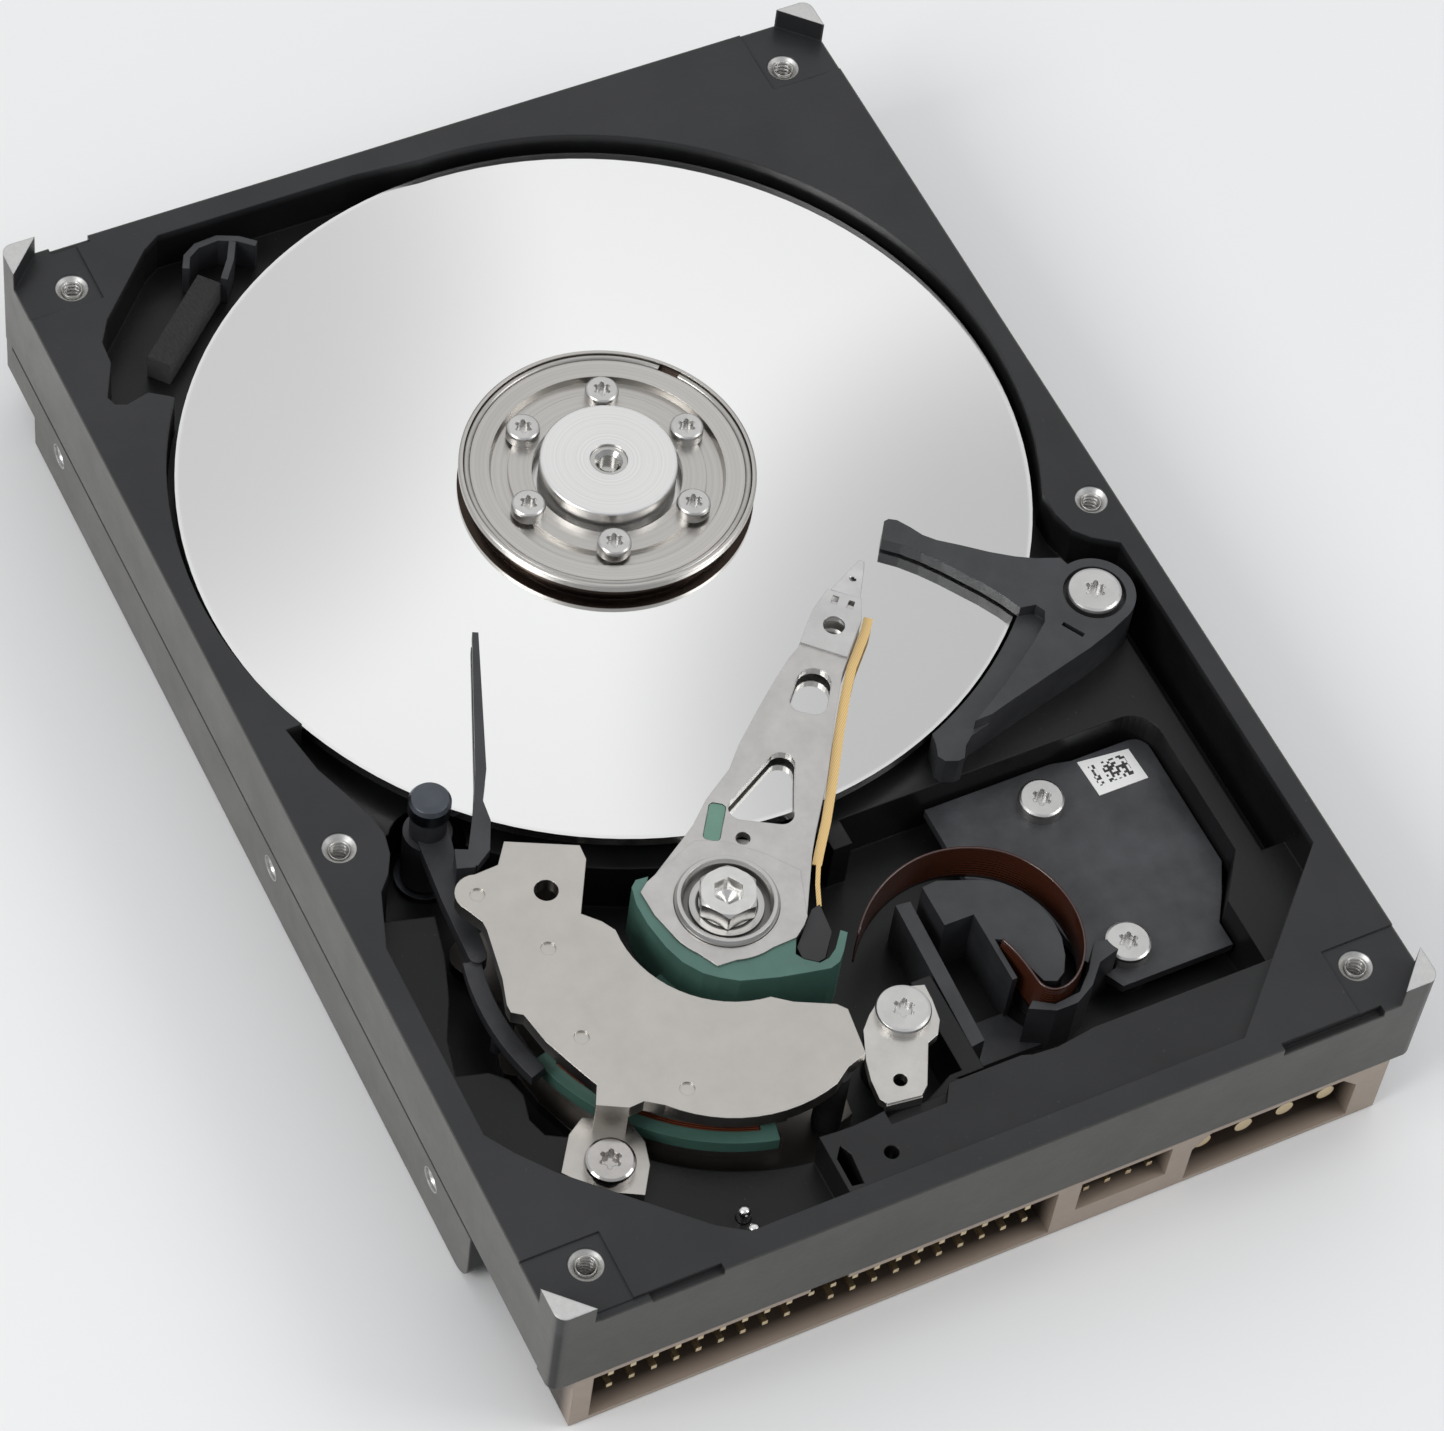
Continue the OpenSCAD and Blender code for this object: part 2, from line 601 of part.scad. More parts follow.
module pivot_shaft() {
    color([0.75, 0.75, 0.76]) at_pivot() difference() {
        union() {
            translate([0, 0, pocket_floor_z]) cylinder(r = 3, h = 13.4);
            translate([0, 0, pocket_floor_z]) cylinder(r = 4.6, h = 0.9);
            translate([0, 0, 6.2]) cylinder(r = 2, h = 3);
        }
        translate([0, 0, 12]) cylinder(r = 1.5 + gap, h = 20);
    }
}

module pivot_screw() {
    head_turn = 5.6;
    color([0.88, 0.88, 0.86]) at_pivot() difference() {
        union() {
            translate([0, 0, 13]) cylinder(r = 1.5, h = 9);
            intersection() {
                rotate([0, 0, head_turn]) translate([0, 0, 21.8]) cylinder(r = 3.35, h = 2.4, $fn = 6);
                rotate_extrude() polygon([[0, 21.8], [3.3, 21.8], [3.3, 23.9], [2.95, 24.2], [0, 24.2]]);
            }
        }
        // socket with a drilled tip
        rotate([0, 0, head_turn]) translate([0, 0, 22.5]) cylinder(r = 1.7, h = 3, $fn = 6);
        translate([0, 0, 21.7]) cylinder(r1 = 0, r2 = 1.25, h = 0.81);
    }
}

module latch_post() {
    color([0.3, 0.32, 0.34]) translate([latch_axis[0], latch_axis[1], 0]) {
        translate([0, 0, 6.2]) cylinder(r = 1.2, h = pocket_floor_z - 6.2);
        translate([0, 0, pocket_floor_z]) cylinder(r = 3.3, h = 0.9);
        translate([0, 0, pocket_floor_z + 0.8]) cylinder(r = 1, h = 13);
        rotate_extrude() polygon([[0, 21.5], [2.3, 21.5], [2.3, 23.3], [2, 23.8], [1.3, 24], [0, 24]]);
    }
}

// ---------------------------------------------------------------- spindle motor, fixed parts

module motor_base() {
    color([0.7, 0.7, 0.7]) at_spindle() difference() {
        union() {
            translate([0, 0, 4.6]) cylinder(r = 6 - gap, h = 4.2);
            translate([0, 0, 8.6]) cylinder(r = 14, h = 0.6);
            translate([0, 0, 8.6]) cylinder(r = 5.2, h = 5);
        }
        translate([0, 0, 0]) cylinder(r = 4.5, h = 20);
    }
}

module bearing_sleeve() {
    color([0.72, 0.66, 0.5]) at_spindle() difference() {
        translate([0, 0, 3.6]) cylinder(r = 4.45, h = 13.2);
        translate([0, 0, 4.6]) cylinder(r = 2.13, h = 20);
    }
}

module stator_core() {
    color([0.45, 0.46, 0.48]) at_spindle() slab(11, 13.4) difference() {
        union() {
            circle(r = 6.8);
            for (i = [0 : 8]) rotate(i * 40) translate([6, -0.8]) square([5.4, 1.6]);
            // pole shoes
            difference() {
                circle(r = 12.1);
                circle(r = 11.2);
                for (i = [0 : 8]) rotate(i * 40 + 20) translate([10, -1]) square([4, 2]);
            }
        }
        circle(r = 5.25);
    }
}

module stator_windings() {
    color([0.7, 0.36, 0.18]) at_spindle()
    for (i = [0 : 8]) rotate([0, 0, i * 40]) difference() {
        translate([7.2, -1.5, 10.2]) cube([3.6, 3, 4]);
        translate([7, -0.85, 10.95]) cube([4, 1.7, 2.5]);
    }
}

// ---------------------------------------------------------------- circuit board and connectors

board_screw_places = [[-39, -52], [39, -56.5], [-39, -6], [39, -6]];

module board_outline() {
    difference() {
        polygon([[-43.2, -63.6], [43.2, -63.6], [43.2, -3], [20, -3], [14, 2], [-14, 2], [-20, -3],
                 [-43.2, -3]]);
        for (p = board_screw_places) translate(p) circle(r = screw_shank_r + 0.25);
    }
}

module circuit_board() {
    color([0.05, 0.28, 0.14]) slab(board_z, board_z + board_t) board_outline();
}

module insulator_sheet() {
    color([0.1, 0.1, 0.1]) slab(board_z + board_t, floor_under_z) difference() {
        translate([-34, -58]) square([68, 50]);
        translate([20.1, -44.7]) square([20, 7.4]);
    }
}

module board_chips() {
    color([0.08, 0.08, 0.09]) {
        for (c = [[-14, -34, 20, 20], [16, -30, 14, 14], [-30, -20, 10, 6], [4, -50, 8, 5], [24, -52, 9, 6]])
            translate([c[0] - c[2] / 2, c[1] - c[3] / 2, board_z - 1.5]) cube([c[2], c[3], 1.5]);
    }
}

module board_screws() {
    color([0.8, 0.8, 0.8])
    for (p = board_screw_places) translate([p[0], p[1], board_z]) mirror([0, 0, 1])
        pan_screw(0, 2.3, 1.2, screw_shank_r, 4.2, 0.8);
}

interface_x = -43.2;
jumper_x = 12.2;
power_x = 26.6;
row_low_z = 3.6;

module connector_housing() {
    depth = socket_depth;
    front = connector_front_y;
    color([0.72, 0.65, 0.58])
    difference() {
        translate([-48, front, 0]) cube([96, connector_back_y - front, skirt_z]);
        // interface socket with its polarising slot
        translate([-45.8, front - 1, 0.6]) cube([53.6, depth + 1, 8.2]);
        translate([-21.3, front - 1, 8]) cube([4.4, depth + 1, 3]);
        // jumper recess
        translate([10.6, front - 1, 3.4]) cube([10.9, depth + 1, 5.4]);
        // power socket with two chamfered corners
        translate([0, front + depth, 0]) rotate([90, 0, 0]) linear_extrude(depth + 1)
            polygon([[24.2, 0.6], [44.4, 0.6], [44.4, 6.7], [42.4, 8.8], [26.2, 8.8], [24.2, 6.7]]);
        // clearance over the board's edge
        translate([-44, connector_back_y - 2.4, board_z - 0.1]) cube([88, 4, board_t + 0.2]);
    }
}

module pin_row(x0, z, count, key) {
    for (i = [0 : count - 1])
        if (i != key)
            translate([x0 + i * pin_pitch - pin_w / 2, connector_front_y + pin_inset, z - pin_w / 2])
                cube([pin_w, socket_depth - pin_inset, pin_w]);
}

module interface_pins() {
    color([0.8, 0.72, 0.55]) {
        pin_row(interface_x, row_low_z, 20, 9);
        pin_row(interface_x, row_low_z + pin_pitch, 20, -1);
    }
}

module jumper_pins() {
    color([0.8, 0.72, 0.55])
    for (row = [0, 1]) pin_row(jumper_x, 5.2 + row * pin_pitch, 4, -1);
}

module power_pins() {
    color([0.8, 0.72, 0.55])
    for (i = [0 : 3])
        translate([power_x + i * power_pitch, connector_front_y + socket_depth, 4.6]) rotate([90, 0, 0])
            cylinder(r = 1.05, h = socket_depth - 1.4);
}

// ---------------------------------------------------------------- rotor

module spindle_hub() {
    color([0.78, 0.78, 0.78]) at_spindle() difference() {
        rotate_extrude()
            polygon([[2.12, 17.2], [4.9, 17.2], [4.9, 15.4], [13.6, 15.4], [13.6, 9.6], [16, 9.6],
                     [16, platter_z - platter_t], [12.45, platter_z - platter_t], [12.45, 20], [8.9, 20],
                     [8.9, 18.6], [7.65, 18.6], [7.65, 23.05], [7.5, 23.2], [2.12, 23.2]]);
        for (i = [0 : 5]) rotate([0, 0, screw_start_angle + 60 * i]) translate([bolt_circle_r, 0, 16.4])
            cylinder(r = screw_shank_r + gap, h = 10);
    }
}

module spindle_shaft() {
    color([0.82, 0.82, 0.82]) at_spindle() difference() {
        translate([0, 0, 4.8]) cylinder(r = 2.1, h = 18.1);
        translate([0, 0, 21.4]) cylinder(r = 1.1, h = 20);
        translate([0, 0, 22.4]) cylinder(r1 = 1.1, r2 = 1.6, h = 0.51);
    }
}

module rotor_magnet() {
    color([0.3, 0.3, 0.32]) at_spindle() translate([0, 0, 9.8]) difference() {
        cylinder(r = 13.55, h = 5.2);
        translate([0, 0, -1]) cylinder(r = 12.6, h = 8);
    }
}

module platter() {
    color([0.86, 0.86, 0.85]) at_spindle() translate([0, 0, platter_z - platter_t]) difference() {
        cylinder(r = platter_r, h = platter_t);
        translate([0, 0, -1]) cylinder(r = 12.5, h = 5);
    }
}

module disk_clamp() {
    color([0.76, 0.75, 0.73]) at_spindle() difference() {
        rotate_extrude()
            polygon([[8.35, 20], [12.9, 20], [13.6, platter_z], [15.7, platter_z], [15.5, 20.7], [16.5, 21],
                     [16.5, 21.7], [16.3, 21.85], [16, 21.85], [16, 21], [15.25, 21], [15.25, 21.5],
                     [13.1, 21.3], [12.9, 20.4], [11, 20.4], [11, 20.9], [8.35, 20.9]]);
        for (i = [0 : 5]) rotate([0, 0, screw_start_angle + 60 * i]) translate([bolt_circle_r, 0, 16])
            cylinder(r = screw_shank_r + 0.1, h = 10);
    }
}

module clamp_screws() {
    color([0.85, 0.85, 0.84]) at_spindle()
    for (i = [0 : 5]) rotate([0, 0, screw_start_angle + 60 * i]) translate([bolt_circle_r, 0, 0])
        pan_screw(20.9, 1.9, 1.5, screw_shank_r, 4, 1);
}

// Split wire ring in the groove of the clamp
module balance_ring() {
    color([0.7, 0.69, 0.67]) at_spindle() rotate([0, 0, 43]) rotate_extrude(angle = 351)
        translate([15.62, 21.38]) circle(r = 0.36, $fn = 24);
}

// ---------------------------------------------------------------- actuator

// Plan of one arm with its lightening holes, and of the flat tail round the pivot
module arm_outline() {
    difference() {
        polygon([[-0.7, 8.6], [5.8, 7], [8.3, 6.4], [12, 6.1], [16.5, 5], [20, 5], [25, 4.5], [29, 4], [32.7, 3.4],
                 [34.4, 2.9], [39.6, 2.9], [41, 2.4], [41.7, 1.4], [41.9, -0.9], [41.5, -2.1], [40.4, -2.5], [33, -2.6],
                 [26.9, -3.6], [19.5, -5.1], [12.4, -6], [9.4, -6.5], [1.4, -8.4]]);
        circle(r = 5.6);
        polygon(concat(arc([12.3, 2.2], 1.5, 200, 60, 8), arc([19.2, 0], 1.5, 60, -60, 8),
                       arc([13.2, -1.9], 1.4, -75, -165, 8)));
        polygon(concat(arc([28, 0.2], 1.6, 200, 110, 6), arc([30.6, -0.1], 1.9, 90, -70, 10),
                       arc([28, -0.9], 1.5, -90, -190, 6)));
        translate([8.7, 0.95]) circle(r = 0.8);
        translate([38.5, 0.1]) circle(r = 1.5);
        window_outline(0);
    }
}

// Opening beside the pivot that the damper fills
module window_outline(inset) {
    translate([9.6, 4.4]) rotate(9) {
        square([4.8 - 2 * inset, 1], center = true);
        square([3.8, 1.9 - 2 * inset], center = true);
        for (sx = [-1, 1]) for (sy = [-1, 1]) translate([sx * 1.85, sy * 0.4]) circle(r = 0.55 - inset);
    }
}

hub_edge = [[-0.7, 8.6], [-2.1, 8.8], [-4.2, 6.6], [-6.3, 3.3], [-7.8, -1.5], [-4.5, -5.3], [-1.5, -8.1],
            [0.2, -8.4], [1.4, -8.4]];
module hub_outline() {
    difference() {
        union() {
            circle(r = 7.1);
            polygon(concat(hub_edge, [[6.6, -6], [7.2, -2], [7.2, 2.4], [6, 5.6]]));
        }
        circle(r = 5.6);
    }
}

module actuator_arm() {
    color([0.84, 0.82, 0.8]) on_actuator() {
        slab(pocket_floor_z + 0.8, hub_top_z) hub_outline();
        above_and_below_disk() slab(upper_arm_z, upper_arm_z + arm_t) arm_outline();
    }
}

// Outer sleeve and races of the ball bearing cartridge
module pivot_bearing() {
    color([0.7, 0.7, 0.71]) at_pivot() rotate_extrude() difference() {
        polygon([[3.05, 9.5], [5.55, 9.5], [5.55, 22.3], [5.3, 22.7], [4.9, 22.7], [4.6, 22.3], [4.6, 21.3],
                 [4, 21.3], [4, 21.7], [3.05, 21.7]]);
        polygon([[3.6, 11], [4.6, 11], [4.6, 20.2], [3.6, 20.2]]);
    }
}

// Overmoulded plastic: a collar behind the hub, a hook beside it and the fan that carries the coil
module coil_former() {
    color([0.45, 0.6, 0.54]) on_actuator() {
        slab(coil_z, 21.7) difference() {
            polygon([[0.2, 8.7], [-0.7, 9.8], [-1.7, 9.9], [-3.5, 8.8], [-5.4, 6.9], [-7.4, 4.2], [-8.5, 2],
                     [-9, -0.4], [-8.9, -2.1], [-8.5, -4.2], [-6.6, -7.9], [-4.9, -10.6], [-3.6, -12.6],
                     [-2.5, -13.2], [-1.1, -13.2], [1.2, -12.9], [1.2, -12.1], [-1.2, -12.3], [-2.5, -12],
                     [-3.4, -11.3], [-3.6, -9.6], [-3.3, -8.6], [-1.5, -8.1], [-4.5, -5.3], [-7.8, -1.5],
                     [-6.3, 3.3], [-4.2, 6.6], [-2.1, 8.8], [-0.7, 8.6]]);
            circle(r = 7.12);
        }
        slab(coil_z, coil_z + coil_t) difference() {
            polygon(fan(8.4, 11.9, 180, coil_half_angle));
            hub_outline();
        }
        // thin frame round the coil
        slab(coil_z + 1.2, coil_z + coil_t) difference() {
            polygon(fan(11.5, coil_outer_r, 180, coil_half_angle));
            polygon(fan(11.9, 24.1, 180, coil_half_angle - 4));
        }
    }
}

module voice_coil() {
    color([0.5, 0.22, 0.14]) on_actuator() slab(coil_z + 0.1, coil_z + coil_t - 0.1) difference() {
        polygon(fan(11.95, 24.05, 180, coil_half_angle - 4.2));
        polygon(fan(15.4, 20.6, 180, coil_half_angle - 15));
    }
}

module arm_damper() {
    color([0.45, 0.6, 0.54]) on_actuator()
    above_and_below_disk() slab(upper_arm_z + 0.1, upper_arm_z + arm_t - 0.1)
        window_outline(0.05);
}

// Preamplifier carrier on the side of the hub
module flex_clip() {
    color([0.12, 0.12, 0.13]) on_actuator()
        slab(11.2, 21.3)
            polygon([[-3.3, -9.4], [-3.1, -11.1], [-2.4, -11.6], [0.9, -11.3], [3.7, -9.1], [2.8, -8.5],
                     [-2.2, -8.45]]);
}

// Flex strip along the edge of the upper arm, from the clip to the heads, with its tabs
module arm_flex() {
    z = upper_arm_z + 0.3;
    edge = [[8.7, -7.3], [10.5, -7.05], [14.3, -6.6], [19.3, -5.75], [25.6, -4.55], [31.1, -3.65], [34.5, -3.25],
            [39.5, -3.25], [41.4, -3.05]];
    color([0.9, 0.78, 0.48]) on_actuator() slab(z, z + 0.15) {
        polygon(strip(edge, 1.05));
        // bare tail from the strip down to the clip
        polygon(strip([[9, -7.4], [6.4, -8.1], [3.9, -9.05]], 0.5));
    }
}

// Swaged base plates of the suspensions
module base_plates() {
    z = upper_arm_z + arm_t;
    color([0.74, 0.74, 0.74]) on_actuator() above_and_below_disk() slab(z, z + 0.25) difference() {
        polygon([[35, 2.9], [39.6, 2.9], [42.9, 2.2], [43.1, -1.7], [41.5, -2.1], [40.4, -2.5], [35, -2.5]]);
        translate([38.5, 0.1]) circle(r = 1.2);
        for (y = [1, -0.8]) translate([41.8, y]) square([1.1, 0.7], center = true);
    }
}

head_r = 47.8;
slider = [1.25, 1, 0.3];
fly_gap = 0.05;

// Load beam drawn flat along +X from its root
module load_beam_outline() {
    difference() {
        polygon([[0, 1.9], [5, 0.6], [6.2, 0.3], [6.2, -0.3], [5, -0.6], [0, -1.5]]);
        translate([2.8, 0.1]) circle(r = 0.4);
    }
}

module load_beams() {
    root = 43.13;
    slope = 13.6;
    dimple_z = platter_z + fly_gap + slider[2];
    color([0.72, 0.72, 0.72]) on_actuator() above_and_below_disk() {
        translate([root, 0, upper_arm_z + arm_t - 0.1]) rotate([0, slope, 0])
            linear_extrude(0.12) load_beam_outline();
        translate([head_r, 0, dimple_z]) cylinder(r = 0.2, h = 0.2);
    }
}

module head_sliders() {
    color([0.2, 0.2, 0.22]) on_actuator() above_and_below_disk()
        translate([head_r - slider[0] / 2, -slider[1] / 2, platter_z + fly_gap]) cube(slider);
}

// ---------------------------------------------------------------- latch

// Air latch: a sleeve on its post, a curved arm beside the coil and a vane in the air stream
latch_arm_z = 16.2;
module latch_lever() {
    catch_r = 25.95;
    color([0.33, 0.35, 0.37]) difference() {
        union() {
            // sleeve with a thinner neck beside the edge of the disk
            translate([latch_axis[0], latch_axis[1], pocket_floor_z + 1.2]) cylinder(r = 2.65, h = 8);
            translate([latch_axis[0], latch_axis[1], pocket_floor_z + 9]) cylinder(r = 2, h = 3.9);
            slab(latch_arm_z, latch_arm_z + 1.9) {
                // bar with a round end
                polygon([[-38.4, -12.4], [-39.2, -21], [-39.5, -28.4], [-37.5, -28.4], [-36.7, -21], [-34.6, -12.4]]);
                translate([-38.5, -28.4]) circle(r = 1);
            }
            // catch
            slab(latch_arm_z, latch_arm_z + 1.5) at_pivot()
                polygon(concat(arc([0, 0], catch_r + 1.9, 167, 199, 12), arc([0, 0], catch_r, 199, 167, 12)));
            translate([-40.1, -37, 13.2]) cylinder(r = 0.6, h = latch_arm_z - 13.1);
            // upright that carries the vane over the edge of the disk
            slab(latch_arm_z, 21.6) polygon([[-37.2, -19.9], [-35.3, -20.5], [-34.5, -18.5], [-36.4, -17.6]]);
            slab(20.2, 21.6)
                polygon([[-36.7, -19.7], [-35, -20.4], [-33, -19.1], [-31.4, -15.8], [-31.1, -13.1], [-29.1, -9.7],
                         [-22.5, 6.7], [-23.1, 7], [-30.2, -9.3], [-31.9, -12.7], [-33.8, -16], [-35.1, -18.2]]);
        }
        translate([latch_axis[0], latch_axis[1], 0]) cylinder(r = 1.04, h = 40);
    }
}

base_casting();
filter_holder();
recirculation_filter();
yoke_foot();
yoke_foot_screw();
vcm_bottom_plate();
vcm_bottom_magnet();
vcm_top_magnet();
vcm_top_plate();
crash_stops();
latch_bracket();
latch_bracket_screw();
air_dam();
air_dam_screw();
flex_bracket();
flex_bracket_screws();
flex_header();
bar_label();
flex_guide();
flex_cable();
locating_pins();
latch_post();
pivot_shaft();
pivot_screw();
motor_base();
bearing_sleeve();
stator_core();
stator_windings();
circuit_board();
board_chips();
board_screws();
insulator_sheet();
connector_housing();
interface_pins();
jumper_pins();
power_pins();
spindle_hub();
spindle_shaft();
rotor_magnet();
platter();
disk_clamp();
clamp_screws();
balance_ring();
actuator_arm();
pivot_bearing();
coil_former();
voice_coil();
arm_damper();
flex_clip();
arm_flex();
base_plates();
load_beams();
head_sliders();
latch_lever();
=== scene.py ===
"""Looks of an opened 3.5 inch hard disk drive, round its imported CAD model. Metres, in the CAD's own frame."""

import json
import math
import random

import bmesh
import bpy
from mathutils import Matrix, Vector


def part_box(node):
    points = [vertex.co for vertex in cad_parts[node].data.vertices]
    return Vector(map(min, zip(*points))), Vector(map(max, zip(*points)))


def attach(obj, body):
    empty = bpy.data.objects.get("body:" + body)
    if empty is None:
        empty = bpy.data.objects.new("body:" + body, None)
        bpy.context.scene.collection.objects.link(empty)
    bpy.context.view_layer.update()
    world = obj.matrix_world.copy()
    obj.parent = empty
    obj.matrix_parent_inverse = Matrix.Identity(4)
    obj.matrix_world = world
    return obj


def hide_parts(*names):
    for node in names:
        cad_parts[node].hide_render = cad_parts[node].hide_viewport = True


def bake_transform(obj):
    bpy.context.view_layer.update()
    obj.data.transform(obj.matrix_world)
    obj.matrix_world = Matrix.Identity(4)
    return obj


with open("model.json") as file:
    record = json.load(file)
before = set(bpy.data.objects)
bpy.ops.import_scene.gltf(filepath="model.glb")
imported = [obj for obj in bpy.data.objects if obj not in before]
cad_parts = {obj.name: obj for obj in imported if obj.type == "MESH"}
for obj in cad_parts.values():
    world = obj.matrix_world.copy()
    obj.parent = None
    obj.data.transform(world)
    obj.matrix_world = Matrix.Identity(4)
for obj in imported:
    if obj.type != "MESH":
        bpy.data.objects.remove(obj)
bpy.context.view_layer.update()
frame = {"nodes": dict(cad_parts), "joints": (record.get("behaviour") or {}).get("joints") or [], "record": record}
nodes = frame["nodes"]
joints = {joint["name"]: joint for joint in frame["joints"]}
mounts = {mount["name"]: mount for mount in frame["record"]["mounts"]}

MM = 0.001
SPINDLE = Vector(joints["spindle_spin"]["pos_m"])
PIVOT = Vector(joints["actuator_swing"]["pos_m"])
DECK_Z = 0.0216
ARM_ANGLE = math.radians(45.9)
# the denoiser takes a surface with a roughness below about 0.274 for a mirror, and a texture that crosses
# that value leaves flecks
SATIN_FROM = 0.29
POLISHED_TO = 0.26
# places on the board's underside that chips and screws take up: x and y from, x and y to, in mm
BOARD_KEEP_OUT = (
    (-25, -45, -3, -23), (8, -38, 24, -22), (-36, -24, -24, -16), (-1, -53.5, 9, -46.5), (18.5, -56, 29.5, -48),
    (-42.5, -55.5, -35.5, -48.5), (35.5, -60, 42.5, -53), (-42.5, -9.5, -35.5, -2.5), (35.5, -9.5, 42.5, -2.5),
    (-43.2, -3.5, -19, 2), (19, -3.5, 43.2, 2), (-21, -3.5, -14, 2), (14, -3.5, 21, 2),
)


# ---------------------------------------------------------------- materials


class Shader:
    """A Principled material and short calls for the texture nodes used here. Texture lengths are in mm."""

    def __init__(self, name, color, roughness, metallic=0.0, **sockets):
        self.material = bpy.data.materials.new(name)
        self.material.use_nodes = True
        self.tree = self.material.node_tree
        self.bsdf = self.tree.nodes["Principled BSDF"]
        self.bsdf.inputs["Base Color"].default_value = (*color, 1.0)
        self.bsdf.inputs["Roughness"].default_value = roughness
        self.bsdf.inputs["Metallic"].default_value = metallic
        for socket, value in sockets.items():
            self.bsdf.inputs[socket.replace("_", " ")].default_value = value
        coordinates = self.add("ShaderNodeTexCoord")
        self.place = self.vector_math("SCALE", coordinates.outputs["Object"], scale=1 / MM)

    def add(self, kind, **settings):
        node = self.tree.nodes.new(kind)
        for key, value in settings.items():
            setattr(node, key, value)
        return node

    def link(self, source, socket):
        self.tree.links.new(source, socket)

    def feed(self, socket, value):
        if isinstance(value, bpy.types.NodeSocket):
            self.link(value, socket)
        else:
            socket.default_value = value

    def vector_math(self, operation, a, b=None, scale=None):
        node = self.add("ShaderNodeVectorMath", operation=operation)
        self.feed(node.inputs[0], a)
        if b is not None:
            self.feed(node.inputs[1], b)
        if scale is not None:
            node.inputs["Scale"].default_value = scale
        return node.outputs["Value" if operation == "DISTANCE" else "Vector"]

    def math(self, operation, a, b=0.0):
        node = self.add("ShaderNodeMath", operation=operation)
        self.feed(node.inputs[0], a)
        self.feed(node.inputs[1], b)
        return node.outputs[0]

    def stretched(self, x, y, z, turn=0.0):
        """Texture place with each axis divided by a length in mm, after a turn about Z in radians."""
        node = self.add("ShaderNodeMapping")
        node.inputs["Rotation"].default_value = (0.0, 0.0, -turn)
        self.link(self.place, node.inputs["Vector"])
        scaled = self.add("ShaderNodeMapping")
        scaled.inputs["Scale"].default_value = (1 / x, 1 / y, 1 / z)
        self.link(node.outputs[0], scaled.inputs["Vector"])
        return scaled.outputs[0]

    def noise(self, size, detail=2.0, roughness=0.5, place=None):
        """Noise from 0 to 1 with features of about that size in mm."""
        node = self.add("ShaderNodeTexNoise")
        node.inputs["Scale"].default_value = 1 / size
        node.inputs["Detail"].default_value = detail
        node.inputs["Roughness"].default_value = roughness
        self.link(place or self.place, node.inputs["Vector"])
        return node.outputs["Fac"]

    def cells(self, size):
        """Distance from the middles of scattered cells of about that size in mm."""
        node = self.add("ShaderNodeTexVoronoi")
        node.inputs["Scale"].default_value = 1 / size
        self.link(self.place, node.inputs["Vector"])
        return node.outputs["Distance"]

    def band(self, value, low, high, out_low=0.0, out_high=1.0):
        """value mapped from low..high to out_low..out_high, clamped."""
        node = self.add("ShaderNodeMapRange")
        self.link(value, node.inputs["Value"])
        for socket, number in zip(("From Min", "From Max", "To Min", "To Max"), (low, high, out_low, out_high)):
            node.inputs[socket].default_value = number
        return node.outputs["Result"]

    def mix(self, factor, a, b):
        node = self.add("ShaderNodeMix", data_type="RGBA")
        self.feed(node.inputs["Factor"], factor)
        for socket, value in ((node.inputs[6], a), (node.inputs[7], b)):
            self.feed(socket, value if isinstance(value, bpy.types.NodeSocket) else (*value[:3], 1.0))
        return node.outputs[2]

    def axis(self, name, place=None):
        node = self.add("ShaderNodeSeparateXYZ")
        self.link(place or self.place, node.inputs[0])
        return node.outputs[name]

    def radius(self, centre, along="Z"):
        """Distance in mm from an axis through centre, along X or Z."""
        mask = (0.0, 1.0, 1.0) if along == "X" else (1.0, 1.0, 0.0)
        flat = self.vector_math("MULTIPLY", self.place, mask)
        return self.vector_math("DISTANCE", flat, tuple(c / MM * keep for c, keep in zip(centre, mask)))

    def set(self, socket, source):
        self.link(source, self.bsdf.inputs[socket])

    def set_roughness(self, value, asked):
        """Roughness held on one side of the mirror limit: above it for satin, below it for polished metal."""
        if asked > 0.2:
            self.set("Roughness", self.math("MAXIMUM", value, SATIN_FROM))
        else:
            self.set("Roughness", self.math("MINIMUM", value, POLISHED_TO))

    def worn_edges(self, radius):
        """Normals that round the edges off at that radius in mm."""
        node = self.add("ShaderNodeBevel", samples=4)
        node.inputs["Radius"].default_value = radius * MM
        self.link(node.outputs[0], self.bsdf.inputs["Normal"])
        return node.outputs[0]

    def bump(self, height, depth, strength=1.0, under=None):
        """Bumps height mm tall, on top of another bump if one is given."""
        node = self.add("ShaderNodeBump")
        node.inputs["Strength"].default_value = strength
        node.inputs["Distance"].default_value = depth * MM
        self.link(height, node.inputs["Height"])
        if under is not None:
            self.link(under, node.inputs["Normal"])
        self.link(node.outputs[0], self.bsdf.inputs["Normal"])
        return node.outputs[0]

    def speckle(self, share, size, color, base):
        """Base colour with small specks of another colour, such as dust."""
        spots = self.band(self.noise(size, 3.0, 0.7), 1 - share, 1 - share * 0.55)
        self.set("Base Color", self.mix(spots, base, color))


def pattern(name):
    """Centres of the four holes of a rectangular mount pattern."""
    mount = mounts[name]
    middle = Vector(mount["pos_m"])
    half_x = mount["dims"]["spacing_x_mm"] * MM / 2
    half_y = mount["dims"]["spacing_y_mm"] * MM / 2
    return [middle + Vector((sx * half_x, sy * half_y, 0)) for sx in (-1, 1) for sy in (-1, 1)]


def cover_holes():
    """Centres of the cover's screw holes in the deck."""
    return pattern("cover_corner_holes") + [
        Vector(mounts[name]["pos_m"]) for name in ("left_cover_hole", "right_cover_hole")]


